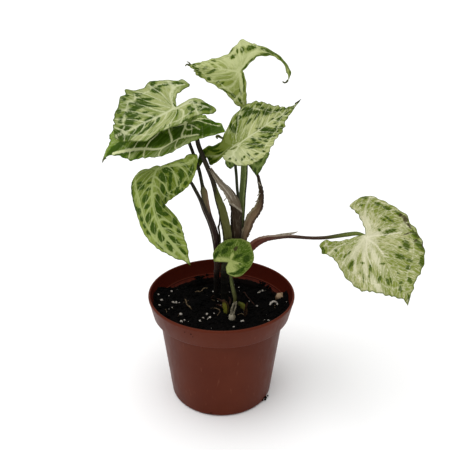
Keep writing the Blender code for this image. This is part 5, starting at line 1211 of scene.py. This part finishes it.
def leaf_marks(n, colour, vein):
    """Over the ground: dark streaks with softer halos, and the net and the lines of the pale veins."""
    depth = n.add(n.add(n.attribute("leaf_streak"), n.look.get("bold", 0.0)), n.ragged)
    halo = n.step(depth, -0.9, -0.15, 0.0, 0.75)
    core = n.step(depth, -0.3, 0.15)
    loose_cell = n.add(n.feather, n.times(n.noise(n.flat_place, 0.12, 2.0), 0.3))
    loose = n.step(loose_cell, 0.20, 0.34, 0.0, n.look["loose"])
    deep = n.step(loose_cell, 0.26, 0.42, 0.0, n.look["loose"])
    edge = n.cells(n.net_flow, n.net_scale, "DISTANCE_TO_EDGE", "Distance")
    # Plain patches take the net out where the centre leaf's lobe is painted in shade
    edge = n.add(n.add(edge, n.times(n.fine, 0.2)), n.attribute("leaf_plain"))
    lines = n.mix(0.6, n.mid, n.pale)
    wobble = n.add(vein, n.times(n.fine, 0.6))
    colour = n.mix(n.larger(halo, loose), colour, n.mid)
    colour = n.mix(n.step(edge, 0.02, 0.12, n.line_strength, 0.0), colour, lines)
    colour = n.mix(n.step(wobble, 0.0, n.look["vein_halo"], 0.4, 0.0), colour, n.pale)
    colour = n.mix(n.larger(core, deep), colour, n.dark)
    colour = n.mix(n.step(edge, 0.02, 0.10, 0.35 * n.line_strength, 0.0), colour, lines)
    return n.mix(n.step(wobble, -0.15, 0.3, 0.75, 0.0), colour, n.pale)


def leaf_material(name, look):
    """Marbled leaf: its ground and marks, a darker or paler rim, dry brown spots and a duller underside."""
    n = LeafNodes(name, look)
    vein = n.attribute("leaf_vein")
    colour = leaf_marks(n, leaf_ground(n), vein)
    rim_colour = paint(*look["rim"]) if "rim" in look else n.mix(0.7, n.mid, n.dark)
    colour = n.mix(n.step(n.add(n.attribute("leaf_rim"), n.fine), 0.15, 0.8, 0.8, 0.0), colour, rim_colour)
    dry = n.step(n.add(n.attribute("leaf_dry"), n.ragged), -0.3, 0.3, 0.0, 0.9)
    colour = n.mix(dry, colour, paint(58, 50, 30))
    dull = n.mix(0.5, colour, n.mix(0.35, n.mid, paint(126, 134, 88)))
    colour = n.mix(n.attribute("leaf_under"), colour, dull)
    wrinkle = n.noise(n.flat_place, 1.6, 3.0, 0.6)
    normal = n.bump(n.add(wrinkle, n.step(vein, 0.0, 0.8, -0.5, 0.5)), 0.35, 0.0004)
    return n.finish(colour, n.step(n.fine, -0.2, 0.2, 0.42, 0.56), normal, gloss=0.05)


def leaf_waves(look, places, unit, rim, nearest):
    """How far the blade waves up and down near its margin, calm near the joint."""
    count, rise, start = look["waves"]
    wave = rise * np.sin(2.0 * math.pi * count * nearest + start) * np.exp(-(rim / WAVE_REACH) ** 2)
    return wave * np.clip(np.linalg.norm(places, axis=1) * unit / 10.0 - 0.3, 0.0, 1.0)


def make_leaf(name):
    """One blade: a fine sheet on the landmarks, waved, quilted between its veins, and closed to a solid."""
    look = LEAVES[name]
    sheet, unit = leaf_sheet(name)
    margin, around = flat_margin(look, unit)
    places, triangles = blade_grid(margin, unit)
    gaps = [np.linalg.norm(margin - place, axis=1) for place in places]
    nearest = np.array([around[gap.argmin()] for gap in gaps])
    rim = np.array([gap.min() for gap in gaps]) * unit
    wave = leaf_waves(look, places, unit, rim, nearest)
    streak, tint, dry, light, plain = [
        patch_field(look.get(kind, []), places) for kind in ("streaks", "tints", "dry", "lights", "plain")]
    # Plain patches, the painted shade on the centre leaf's lobe, take out the veins
    plain = np.clip(2.0 * plain, 0.0, 1.0)
    vein, flow = vein_gaps(look, places, unit, rim)
    vein += 3.0 * plain

    up = 1.0
    normal = sheet_normal(sheet, places)
    if normal.mean(axis=0) @ np.array(look["under"]) > 0.0:
        up = -1.0
        normal = -normal
        triangles = triangles[:, ::-1]
    middle = sheet(places) + normal * (wave * up)[:, None]
    quilt = QUILT_HEIGHT * (1.0 - np.exp(-(np.maximum(vein, 0.0) / 1.6) ** 2))
    ripple = np.array([0.10 * rough(p, 2.4) + 0.05 * rough(p, 1.1) for p in middle])
    ridge = RIDGE_HEIGHT * np.exp(-(np.maximum(vein, 0.0) / 0.7) ** 2)
    half = BLADE_THICKNESS / 2.0 * np.clip(rim / 1.2, 0.25, 1.0)
    inward = np.clip(rim / 2.0, 0.0, 1.0)
    top = middle + normal * (half + (quilt + ripple) * inward)[:, None]
    bottom = middle - normal * (half + (ridge - quilt - ripple) * inward)[:, None]

    total = len(places)
    flat_mm = np.hstack([places * unit, np.zeros((total, 1))])
    values = dict(leaf_place=np.vstack([flat_mm, flat_mm + (0.0, 0.0, 30.0)]))
    for key, numbers in dict(flow=flow, vein=np.clip(vein, -2.0, 6.0), streak=streak, rim=rim, tint=tint,
                             dry=dry, light=light, plain=plain).items():
        values["leaf_" + key] = np.concatenate([numbers, numbers])
    values["leaf_under"] = np.concatenate([np.zeros(total), np.ones(total)])
    return add_piece(name + "_blade", np.vstack([top, bottom]), closed_faces(triangles, total),
                     leaf_material(name + "_marbled", look), values, name)


# The stalks and stems

def blade_rise(sheet, unit, centre, normal, radius):
    """How far a blade curves up, around a stalk's end, above the plane that touches it at the joint."""
    near_end = radius + 1.5
    reach = np.linspace(-2.0, 2.0, 21) * near_end / unit
    grid = np.stack(np.meshgrid(reach, reach), 2).reshape(-1, 2) + FLAT_MIDRIB["joint"]
    offsets = sheet(grid) - np.array(centre)
    rises = offsets @ np.array(normal)
    aside = np.linalg.norm(offsets - rises[:, None] * np.array(normal), axis=1)
    return max(0.0, rises[aside < near_end].max())


def stalk_route(stalk):
    """A stalk's stations, with its last ones square to the blade's underside and just short of it."""
    route = list(stalk["route"])
    if not stalk["leaf"]:
        return route
    sheet, unit = leaf_sheet(stalk["leaf"])
    joint = [FLAT_MIDRIB["joint"]]
    normal = Vector(sheet_normal(sheet, joint)[0])
    if normal.dot(Vector(LEAVES[stalk["leaf"]]["under"])) < 0.0:
        normal = -normal
    centre = Vector(sheet(joint)[0])
    radius = route[-1][3]
    near = STALK_GAP + blade_rise(sheet, unit, centre, normal, radius * 0.7)
    for away, size in ((near + 2.3, radius * 0.85), (near, radius * 0.8)):
        route.append(tuple(centre + normal * away) + (size, size))
    return route


def stalk_colour(n, stalk, along, waver):
    """Colours along a stalk, other colours at its edges, and one pale line where it has one, which on
    the round stalks is a painted highlight.
    """
    colour = n.ramp(along, stalk["shades"])
    for edge, outward in (("left", -1.0), ("right", 1.0)):
        if edge in stalk:
            where, shades = stalk[edge]
            colour = n.mix(n.step(waver, where, where + 0.25 * outward), colour, n.ramp(along, shades))
    # The pale line: on the round stalks a painted highlight
    if "line" in stalk:
        where, half_width, start, end, *rgb = stalk["line"]
        gap = n.math("ABSOLUTE", n.math("SUBTRACT", waver, where))
        strip = n.times(n.step(along, start, start + 0.06), n.step(along, end, end - 0.06))
        strip = n.times(strip, n.step(gap, half_width, half_width * 0.4, 0.0, 0.7))
        colour = n.mix(strip, colour, paint(*rgb))
    return colour


def stalk_material(name, stalk):
    """A stalk: its colours, fine fibres that run with it, dark blots and darker thin edges."""
    n = Nodes(name)
    side = n.attribute("stalk_side")
    lie = n.attribute("stalk_lie", "Vector")
    fibre = n.noise(n.scaled(lie, 1.6, 0.16, 1.6), 1.0, 4.0, 0.6)
    blot = n.noise(lie, 0.35, 3.0)
    along = n.add(n.attribute("stalk_along"), n.times(side, stalk.get("slant", 0.0)))
    waver = n.add(side, n.times(n.math("SUBTRACT", blot, 0.5), 0.5))
    colour = stalk_colour(n, stalk, along, waver)
    papery = stalk["slot"] == "dry_sheath"
    streaky, roughness = (0.8, 0.75) if papery else (0.4, 0.5)
    for share, half, rgb in (
            (n.step(fibre, 0.52, 0.74, 0.0, streaky), 0.45, (168, 160, 136)),
            (n.step(fibre, 0.46, 0.30, 0.0, streaky), 0.5, (20, 14, 8)),
            (n.step(blot, 0.55, 0.78, 0.0, 0.4), 0.5, (24, 18, 12)),
            (n.step(n.attribute("stalk_wing"), 0.86, 1.0, 0.0, 0.3), 0.5, (26, 24, 14))):
        colour = n.mix(share, colour, n.mix(half, colour, paint(*rgb)))
    return n.finish(colour, n.step(fibre, 0.3, 0.7, roughness, roughness + 0.15),
                    n.bump(fibre, 0.5, 0.0005), gloss=0.08)


def make_stalk(name):
    """One stalk or papery sheath: oval sections on its route, hollowed and thin-edged where it is wide."""
    stalk = STALKS[name]
    stations = smooth_path(stalk_route(stalk), STALK_STEPS)
    lengths = run_lengths(stations[:, :3])
    own_length = lengths[(len(stalk["route"]) - 1) * STALK_STEPS]
    points = []
    values = dict(stalk_along=[], stalk_wing=[], stalk_lie=[], stalk_side=[])
    for station, length, (out, across) in zip(stations, lengths, path_frames(stations)):
        centre = Vector(station[:3])
        half_width, half_depth = station[3:]
        flatness = max(half_width - half_depth, 0.0)
        for angle in turns(STALK_SIDES):
            side = math.cos(angle)
            tear = stalk["torn"] * min(flatness, 1.5) * (
                rough((length, side * 3.0, half_width), 1.6, len(name))
                + 0.6 * rough((length, side * 3.0, 5.0), 0.7, len(name)))
            wide = half_width + tear * abs(side) ** 3
            thin = half_depth * (1.0 - 0.45 * min(flatness / 1.5, 1.0) * side ** 2)
            bend = stalk.get("channel", 0.35) * flatness * side ** 2
            ridge = 0.05 * math.sin(angle * 7.0 + rough((length, 0.0, 0.0), 9.0) * 3.0)
            points.append(centre + across * wide * side + out * (thin * math.sin(angle) + ridge - bend))
            values["stalk_along"].append(length / own_length)
            values["stalk_side"].append(side)
            values["stalk_wing"].append(abs(side) * min(flatness / 0.8, 1.0))
            values["stalk_lie"].append((math.cos(angle) * half_width * 2.0, length, math.sin(angle) * 2.0))
    return add_piece(name + "_skin", points, rod_faces(0, len(stations), STALK_SIDES),
                     stalk_material(name + "_fibres", stalk), values, name)


def stem_material(name, low, high):
    """A stem: two mottled tones and pale fibres, near-black with red-brown blotches over its lower part."""
    n = Nodes(name)
    lie = n.attribute("stalk_lie", "Vector")
    blot = n.noise(lie, 0.5, 4.0, 0.65)
    fibre = n.noise(n.scaled(lie, 2.0, 0.25, 2.0), 1.0, 3.0)
    colour = n.mix(n.step(blot, 0.35, 0.65), paint(*low), paint(*high))
    colour = n.mix(n.step(fibre, 0.55, 0.8, 0.0, 0.4), colour, paint(110, 100, 76))
    # Near-black with red-brown blotches over the lower part, fading out higher up
    darkened = n.step(n.add(n.attribute("stalk_along"), n.times(blot, 0.2)), 0.75, 0.95, 0.9, 0.0)
    colour = n.mix(darkened, colour, n.mix(n.step(blot, 0.55, 0.7), paint(9, 8, 6), paint(44, 26, 20)))
    return n.finish(colour, 0.6, n.bump(fibre, 0.5, 0.0005), gloss=0.3)


def make_stem(name):
    """One stem: a round rod with the ring scars of old leaves and a rough skin."""
    stem = STEMS[name]
    stations = smooth_path(stem["route"], STEM_STEPS)
    lengths = run_lengths(stations[:, :3])
    points = []
    values = dict(stalk_along=[], stalk_lie=[])
    for (x, y, z, radius), length in zip(stations, lengths):
        ring = 0.10 * radius * math.exp(-((length % SCAR_SPACING) - FIRST_SCAR) ** 2 / 0.8)
        for angle in turns(STEM_SIDES):
            across, back = polar(radius, angle)
            size = radius + ring + 0.12 * rough((x + across, y + back, z), 1.8)
            points.append((x + size * math.cos(angle), y + size * math.sin(angle), z))
            values["stalk_along"].append(length / lengths[-1])
            values["stalk_lie"].append((across, length, back))
    return add_piece(name + "_skin", points, rod_faces(0, len(stations), STEM_SIDES, rising=True),
                     stem_material(name + "_skin", stem["low"], stem["high"]), values, name)


def make_wisps(name, wisps, low, high):
    """One piece of all the wisps of a kind."""
    points, faces = [], []
    for thin, route in wisps:
        tube(points, faces, route, 10, thin)
    return add_piece(name, points, faces, mottled_material(name + "_papery", low, high, 900.0, 0.7))


# The pot

def pot_material():
    """Moulded red-brown plastic: satin, slightly blotchy, with faint scuffs and soil dust. Painted shade
    makes its inside darker and redder. The ledge has dark lines, near-black blotches and pale lines of
    painted highlight.
    """
    n = Nodes("pot_plastic_satin")
    place = n.place()
    cloud = n.noise(place, 28.0, 3.0)
    scuff = n.noise(n.scaled(place, 1.0, 1.0, 0.25), 320.0, 3.0, 0.6)
    grain = n.noise(place, 2600.0, 2.0)
    dust = n.noise(place, 620.0, 2.0)
    ledge = n.attribute("pot_ledge")
    # Near-black blotches over the ledge, strongest on its lowest rings
    darkened = n.step(n.add(n.attribute("pot_darkened"), n.noise(place, 260.0, 4.0, 0.65)), 0.95, 1.15)
    colour = n.mix(n.step(cloud, 0.3, 0.7), paint(81, 31, 15), paint(88, 37, 20))
    for share, rgb in ((n.step(scuff, 0.62, 0.75, 0.0, 0.25), (124, 80, 64)),
                       # Painted shade: the inside and the inner side of the lip are darker and redder
                       (n.times(n.attribute("pot_inside"), 0.75), (74, 20, 11)),
                       (n.step(ledge, 0.3, 0.9, 0.0, 0.9), (28, 4, 1)),
                       # A pale line on the ledge is a painted highlight
                       (n.step(ledge, -0.4, -0.9, 0.0, 0.7), (120, 62, 44)),
                       (darkened, (8, 4, 3)),
                       (n.step(dust, 0.72, 0.78, 0.0, 0.6), (34, 20, 14))):
        colour = n.mix(share, colour, paint(*rgb))
    normal = n.bump(grain, 0.08, 0.0002, n.bump(cloud, 0.2, 0.0008))
    satin = n.larger(n.step(scuff, 0.3, 0.7, 0.36, 0.46), n.step(ledge, 0.2, 0.6, 0.0, 0.95))
    return n.finish(colour, satin, normal, gloss=0.07)


def pot_inside():
    """The pot's profile from the floor up to the lip: its taper, the rounded ledge and the collar's wall."""
    inner_foot = BASE_RADIUS - WALL
    inner_top = BODY_TOP_RADIUS - WALL
    inner_collar = COLLAR_FOOT_RADIUS - WALL
    corner = COLLAR_FOOT + LEDGE_RISE
    wall_slope = (LIP_RADIUS - COLLAR_FOOT_RADIUS) / (COLLAR_HEIGHT - 2.3)
    corner_radius = inner_collar + wall_slope * (LEDGE_RISE - 1.9)
    return [(inner_foot - 1.2, FLOOR), (inner_foot + 0.1, FLOOR + 1.0), (inner_top - 0.1, COLLAR_FOOT - 0.8),
            (inner_top + 0.3, COLLAR_FOOT + 0.1), (inner_collar - 1.5, COLLAR_FOOT + 1.5),
            (inner_collar - 1.2, COLLAR_FOOT + 2.1), (corner_radius - 0.4, corner - 0.4),
            (corner_radius, corner), (corner_radius + 0.14, corner + 0.6)]


def pot_lip():
    """The profile of the rolled lip, from inside to outside."""
    lip = [(LIP_RADIUS - WALL, POT_HEIGHT - 1.4)]
    for k in range(9):
        angle = math.pi * (1.0 - k / 8.0)
        lip.append((LIP_RADIUS - WALL / 2.0 + 0.05 + LIP_ROLL * math.cos(angle),
                    POT_HEIGHT - LIP_ROLL + LIP_ROLL * math.sin(angle)))
    return lip


def pot_outside():
    """The profile from the lip down to the base: the collar, its step, the taper and the rounded foot."""
    slope = (BODY_TOP_RADIUS - BASE_RADIUS) / (COLLAR_FOOT - FOOT_ROUND)
    outside = [(LIP_RADIUS + 0.02, POT_HEIGHT - 1.7), (LIP_RADIUS - 0.25, POT_HEIGHT - 2.5),
               (LIP_RADIUS - 0.45, POT_HEIGHT - 3.2), (COLLAR_FOOT_RADIUS + 0.05, COLLAR_FOOT + 0.6),
               (COLLAR_FOOT_RADIUS - 0.3, COLLAR_FOOT + 0.08), (COLLAR_FOOT_RADIUS - 0.8, COLLAR_FOOT - 0.05),
               (BODY_TOP_RADIUS + 0.7, COLLAR_FOOT - 0.15), (BODY_TOP_RADIUS + 0.1, COLLAR_FOOT - 0.5),
               (BODY_TOP_RADIUS - slope * 2.0, COLLAR_FOOT - 2.0), (BASE_RADIUS + slope * 4.0, 6.4),
               (BASE_RADIUS, 2.6)]
    for k in range(1, 7):
        angle = math.pi / 2.0 * k / 6.0
        outside.append((BASE_RADIUS - FOOT_ROUND + FOOT_ROUND * math.cos(angle),
                        FOOT_ROUND - FOOT_ROUND * math.sin(angle)))
    return outside


def pot_floor(points, faces, first, height, faces_up):
    """Close one side of the pot's floor inside the ring that starts at first, round its open drain holes."""
    index = list(range(first, first + POT_SIDES))
    middles = [polar(DRAIN_CIRCLE, 2.0 * math.pi * (k + 0.5) / DRAIN_HOLES) for k in range(DRAIN_HOLES)]
    holes = []
    for middle_x, middle_y in middles:
        hole = list(range(len(points), len(points) + DRAIN_SIDES))
        for angle in turns(DRAIN_SIDES):
            x, y = polar(DRAIN_RADIUS, angle)
            points.append((middle_x + x, middle_y + y, height))
        holes.append(hole)
        index += hole
    loops = [list(range(POT_SIDES))]
    for number in range(DRAIN_HOLES):
        start = POT_SIDES + number * DRAIN_SIDES
        loops.append(list(range(start, start + DRAIN_SIDES)))
    filled = delaunay_2d_cdt([Vector(points[i][:2]) for i in index], [], loops, 1, 1e-6)
    own = [index[sources[0]] for sources in filled[3]]
    for triangle in filled[2]:
        centre = sum((Vector(filled[0][i]) for i in triangle), Vector((0.0, 0.0))) / 3.0
        if min((centre - Vector(middle)).length for middle in middles) < DRAIN_RADIUS * 0.99:
            continue
        corners = tuple(own[i] for i in triangle)
        faces.append(corners if faces_up else corners[::-1])
    return holes


def make_pot():
    """The pot: a turned profile with a rolled lip, an inner ledge, a stepped collar and drain holes."""
    inside = pot_inside()
    profile = inside + pot_lip() + pot_outside()
    points = [(*polar(radius, angle), height) for radius, height in profile for angle in turns(POT_SIDES)]
    faces = ring_faces(0, len(profile), POT_SIDES)
    upper = pot_floor(points, faces, 0, FLOOR, True)
    lower = pot_floor(points, faces, (len(profile) - 1) * POT_SIDES, 0.0, False)
    for high, low in zip(upper, lower):
        for k in range(DRAIN_SIDES):
            after = (k + 1) % DRAIN_SIDES
            faces.append((high[after], low[after], low[k], high[k]))
    # The first column marks the inside and the inner side of the lip for their painted shade
    marks = np.zeros((len(points), 3))
    marks[:(len(inside) + 4) * POT_SIDES, 0] = 1.0
    # The ledge's rings get dark lines, pale lines of painted highlight and near-black blotches
    for number, *mark in LEDGE_MARKS:
        marks[number * POT_SIDES:(number + 1) * POT_SIDES, 1:] = mark
    values = dict(pot_inside=marks[:, 0], pot_ledge=marks[:, 1], pot_darkened=marks[:, 2])
    return add_piece("nursery_pot", points, faces, pot_material(), values, "pot")


# The soil

def soil_edge(x, y):
    """Radius and height of the soil's edge in the direction of a place: below the ledge or by the wall."""
    angle = math.degrees(math.atan2(y, x)) % 360.0
    height = np.interp(angle, *zip(*SOIL_BANKS))
    turn = math.radians(angle)
    for width, rise in EDGE_WAVES:
        height += rise * noise.noise(Vector((*polar(EDGE_RING, turn), rise)) / width)
    slope = (LIP_RADIUS - COLLAR_FOOT_RADIUS) / (COLLAR_HEIGHT - WALL - LIP_ROLL)
    against_wall = COLLAR_FOOT_RADIUS - WALL + slope * (height - POT_HEIGHT + COLLAR_HEIGHT - WALL) - WALL_GAP
    return min(against_wall, LOW_EDGE_RADIUS + EDGE_SPREAD * max(0.0, height - LOW_EDGE_HEIGHT)), height


def edge_radius(angle):
    """The radius of the soil's edge at an angle."""
    return soil_edge(math.cos(angle), math.sin(angle))[0]


def soil_top(x, y):
    """Height of the crumbly surface at a place in the pot."""
    radius, height = soil_edge(x, y)
    share = min(1.0, math.hypot(x, y) / radius)
    top = SOIL_LEVEL + (height - SOIL_LEVEL) * share ** BANK_STEEPNESS
    for mound_x, mound_y, rise, reach in SOIL_MOUNDS:
        top += rise * math.exp(-((x - mound_x) ** 2 + (y - mound_y) ** 2) / reach ** 2)
    calm = min(1.0, 8.0 * (1.0 - share) + 0.4)
    for size, rise in SOIL_WAVES:
        top += calm * rise * noise.noise(Vector((x / size, y / size, rise)))
    return top


def drawn_place(draw, limit):
    """A seeded place on the soil and its share of the way to the edge, whose square stays below limit."""
    angle = draw.uniform(0.0, 2.0 * math.pi)
    share = math.sqrt(draw.uniform(0.0, limit))
    return (*polar(edge_radius(angle) * share, angle), share)


def soil_material(name, low, high):
    """Crumbs of two tones with a few paler flecks."""
    n = Nodes(name)
    place = n.place()
    lump = n.noise(place, 420.0, 4.0, 0.7)
    fleck = n.noise(place, 1500.0, 2.0)
    colour = n.mix(n.step(lump, 0.35, 0.7), paint(*low), paint(*high))
    colour = n.mix(n.step(fleck, 0.66, 0.74, 0.0, 0.5), colour, n.mix(0.3, colour, paint(96, 78, 60)))
    return n.finish(colour, n.step(lump, 0.3, 0.7, 0.7, 0.95), n.bump(lump, 0.8, 0.001), gloss=0.04)


def soil_bed():
    """The points and faces of the rough bed: its surface in rings, and its side down to the pot's floor."""
    angles = turns(SOIL_SPOKES)
    points = [(0.0, 0.0, soil_top(0.0, 0.0))]
    for ring in range(1, SOIL_RINGS + 1):
        for angle in angles:
            x, y = polar(edge_radius(angle) * (ring / SOIL_RINGS), angle)
            points.append((x, y, soil_top(x, y)))
    for radius, height in SOIL_SIDE:
        for angle in angles:
            edge = edge_radius(angle)
            fitted = min(radius, edge - 0.05)
            lift = height if radius < LEDGE_START else LEDGE_FOOT + LEDGE_SLOPE * (fitted - LEDGE_INNER)
            under_edge = soil_top(*polar(edge, angle)) - 0.4
            if radius > 40.0:
                under_edge -= 0.2 * (SOIL_SIDE[0][0] - radius)
            points.append((*polar(fitted, angle), min(lift, under_edge)))
    points.append((0.0, 0.0, SOIL_SIDE[-1][1]))
    layers = SOIL_RINGS + len(SOIL_SIDE)
    last = 1 + (layers - 1) * SOIL_SPOKES
    faces = [(0, 1 + k, 1 + (k + 1) % SOIL_SPOKES) for k in range(SOIL_SPOKES)]
    faces += ring_faces(1, layers, SOIL_SPOKES)
    faces += [(last + k, len(points) - 1, last + (k + 1) % SOIL_SPOKES) for k in range(SOIL_SPOKES)]
    return points, faces


def add_crumbs(points, faces, draw):
    """Crumbs all over the bed, then lumps along its edge."""
    for number in range(CRUMBS):
        x, y, share = drawn_place(draw, 0.985)
        size = 0.35 + 1.1 * draw.random() ** 3
        if share > 0.95:
            size *= 0.6
        squash = draw.uniform(0.5, 0.9)
        lump_mesh(points, faces, (x, y, soil_top(x, y) + 0.15 * size), size, squash, number * 0.37)
    for number in range(EDGE_LUMPS):
        angle = draw.uniform(0.0, 2.0 * math.pi)
        size = 0.6 + 1.5 * draw.random() ** 2
        x, y = polar(edge_radius(angle) - size * draw.uniform(1.3, 2.2), angle)
        lump_mesh(points, faces, (x, y, soil_top(x, y) + 0.1 * size), size, 0.7, number * 0.53, 1.2)


def add_clumps(points, faces, draw):
    """The clumps of soil that lie on the pot's ledge."""
    for middle, spread, near, far, count in LEDGE_CLUMPS:
        for number in range(count):
            angle = math.radians(middle + draw.uniform(-spread, spread))
            size = 0.4 + 1.0 * draw.random()
            radius = draw.uniform(near, far)
            centre = (*polar(radius, angle), np.interp(radius, *zip(*LEDGE_TOP)))
            lump_mesh(points, faces, centre, size, 0.6, middle + number * 0.71, 1.5)


def make_soil():
    """The soil: a rough bed that meets the pot's wall, crumbs of all sizes in it, and clumps on the ledge."""
    points, faces = soil_bed()
    draw = random.Random(7)
    add_crumbs(points, faces, draw)
    add_clumps(points, faces, draw)
    points = np.array(points)
    room = np.interp(points[:, 2], *zip(*SOIL_ROOM))
    points[:, :2] *= np.minimum(1.0, room / np.maximum(np.hypot(points[:, 0], points[:, 1]), 1.0))[:, None]
    return add_piece("potting_soil", points, faces, soil_material("damp_soil", (2, 2, 2), (10, 8, 7)),
                     replaced="soil")


def make_perlite():
    """White grains: those that show in the photograph, a seeded scatter of smaller ones, and a curl."""
    draw = random.Random(11)
    points, faces = [], []
    for number, (x, y, size) in enumerate(PERLITE):
        stretch = 1.0 + 0.6 * draw.random()
        lump_mesh(points, faces, (x, y, soil_top(x, y) + 0.3 * size), size * 0.95, 0.7, number * 1.3, stretch)
    for number in range(PERLITE_SPECKS):
        x, y = drawn_place(draw, 0.95)[:2]
        size = 0.18 + 0.5 * draw.random() ** 2
        lump_mesh(points, faces, (x, y, soil_top(x, y) + 0.2 + 0.3 * size), size, 0.7, number * 0.7, 1.4)
    tube(points, faces, [(x, y, soil_top(x, y) + rise, radius) for x, y, rise, radius in PALE_CURL], 9)
    return add_piece("perlite_grains", points, faces,
                     mottled_material("perlite_white", (112, 104, 96), (190, 184, 174), 700.0, 0.85))


def loose_fibre(draw):
    """The route of one short seeded fibre on the soil, cut off where it would reach the soil's edge."""
    x, y = drawn_place(draw, 0.85)[:2]
    turn = draw.uniform(0.0, 2.0 * math.pi)
    route = []
    for k in range(4):
        route.append((x, y, soil_top(x, y) + 0.1 + 0.5 * draw.random(), 0.12 + 0.1 * draw.random()))
        turn += draw.uniform(-0.7, 0.7)
        x, y = x + 1.6 * math.cos(turn), y + 1.6 * math.sin(turn)
        if math.hypot(x, y) > soil_edge(x, y)[0] - 1.0:
            break
    return route


def make_fibres():
    """Pale roots and fibres that lie on the soil, thinner at their ends."""
    points, faces = [], []
    for radius, line in FIBRES:
        ends = (0, len(line) - 1)
        route = []
        for k, (x, y) in enumerate(line):
            size = radius * (0.6 if k in ends else 1.0)
            route.append((x, y, soil_top(x, y) + 0.3 + 0.4 * (k % 2), size))
        tube(points, faces, route)
    draw = random.Random(23)
    for number in range(LOOSE_FIBRES):
        route = loose_fibre(draw)
        if len(route) > 2:
            tube(points, faces, route, 5)
    return add_piece("soil_fibres", points, faces,
                     mottled_material("pale_fibre", (52, 38, 24), (112, 96, 72), 500.0, 0.7))


def make_bark_chip():
    """The tan chip of bark against the right of the pot."""
    level = soil_top(*CHIP_PLACE)
    points = [(x, y, level + rise) for x, y, rise in CHIP_CORNERS]
    faces = [(3, 2, 1, 0), (4, 5, 6, 7), (0, 1, 5, 4), (1, 2, 6, 5), (2, 3, 7, 6), (3, 0, 4, 7)]
    return add_piece("bark_chip", points, faces,
                     mottled_material("bark_tan", (122, 98, 74), (172, 148, 120), 260.0, 0.8))


def make_dirt():
    """Specks and crumbs of soil that stick to the pot."""
    points, faces = [], []
    for number, (x, y, z, size) in enumerate(POT_DIRT):
        lump_mesh(points, faces, (x, y, z), size, 0.8, number * 0.9 + 0.4, 1.3)
    return add_piece("pot_dirt", points, faces, soil_material("stuck_soil", (10, 6, 4), (34, 18, 12)))


# The stage

def make_floor():
    """A wide pale floor."""
    mesh = bpy.data.meshes.new("floor")
    reach = 6.0
    corners = [(-reach, -reach, 0.0), (reach, -reach, 0.0), (reach, reach, 0.0), (-reach, reach, 0.0)]
    mesh.from_pydata(corners, [], [(0, 1, 2, 3)])
    floor = bpy.data.objects.new("floor", mesh)
    bpy.context.scene.collection.objects.link(floor)
    mesh.materials.append(Nodes("floor_pale").finish((0.98, 0.98, 0.98, 1.0), 0.9))


def make_studio():
    """A pale surround with one very broad lamp above, in front and to the left."""
    world = bpy.data.worlds.new("studio")
    world.use_nodes = True
    background = world.node_tree.nodes["Background"]
    background.inputs["Color"].default_value = (1.0, 1.0, 1.0, 1.0)
    background.inputs["Strength"].default_value = SURROUND_STRENGTH
    bpy.context.scene.world = world
    bpy.context.scene.view_settings.view_transform = "Standard"
    lamp = bpy.data.lights.new("key", "SUN")
    lamp.angle = math.radians(LAMP_SPREAD)
    lamp.energy = LAMP_ENERGY
    key = bpy.data.objects.new("key", lamp)
    key.rotation_euler = Vector(LAMP_DIRECTION).to_track_quat("-Z", "Y").to_euler()
    bpy.context.scene.collection.objects.link(key)


def make_camera():
    """The photograph's camera: it looks down by its pitch, right by its yaw, and is tilted by its roll."""
    pitch, yaw, roll = [math.radians(angle) for angle in CAMERA_TURNS]
    camera = bpy.data.cameras.new("camera")
    camera.lens = CAMERA_LENS
    camera.sensor_width = 36.0
    camera.clip_start = 0.01
    forward = Vector((math.sin(yaw) * math.cos(pitch), math.cos(yaw) * math.cos(pitch), -math.sin(pitch)))
    right = Vector((math.cos(yaw), -math.sin(yaw), 0.0))
    up = right.cross(forward)
    across = right * math.cos(roll) + up * math.sin(roll)
    over = up * math.cos(roll) - right * math.sin(roll)
    made = bpy.data.objects.new("camera", camera)
    turned = Matrix((across, over, -forward)).transposed().to_4x4()
    made.matrix_world = Matrix.Translation(CAMERA_PLACE) @ turned
    bpy.context.scene.collection.objects.link(made)
    bpy.context.scene.camera = made


make_camera()
make_floor()
make_studio()
make_pot()
make_soil()
make_perlite()
make_fibres()
make_bark_chip()
make_dirt()
for stem_name in STEMS:
    make_stem(stem_name)
for stalk_name in STALKS:
    make_stalk(stalk_name)
make_wisps("pale_wisps", PALE_WISPS, (122, 112, 94), (172, 164, 148))
make_wisps("dark_wisps", DARK_WISPS, (26, 20, 12), (58, 50, 32))
make_wisps("green_wisps", GREEN_WISPS, (50, 54, 24), (96, 102, 56))
make_wisps("brown_debris", BROWN_DEBRIS, (22, 12, 9), (58, 36, 26))
make_wisps("seedling_roots", SEEDLING_ROOTS, (112, 106, 84), (158, 150, 130))
for leaf_name in LEAVES:
    make_leaf(leaf_name)
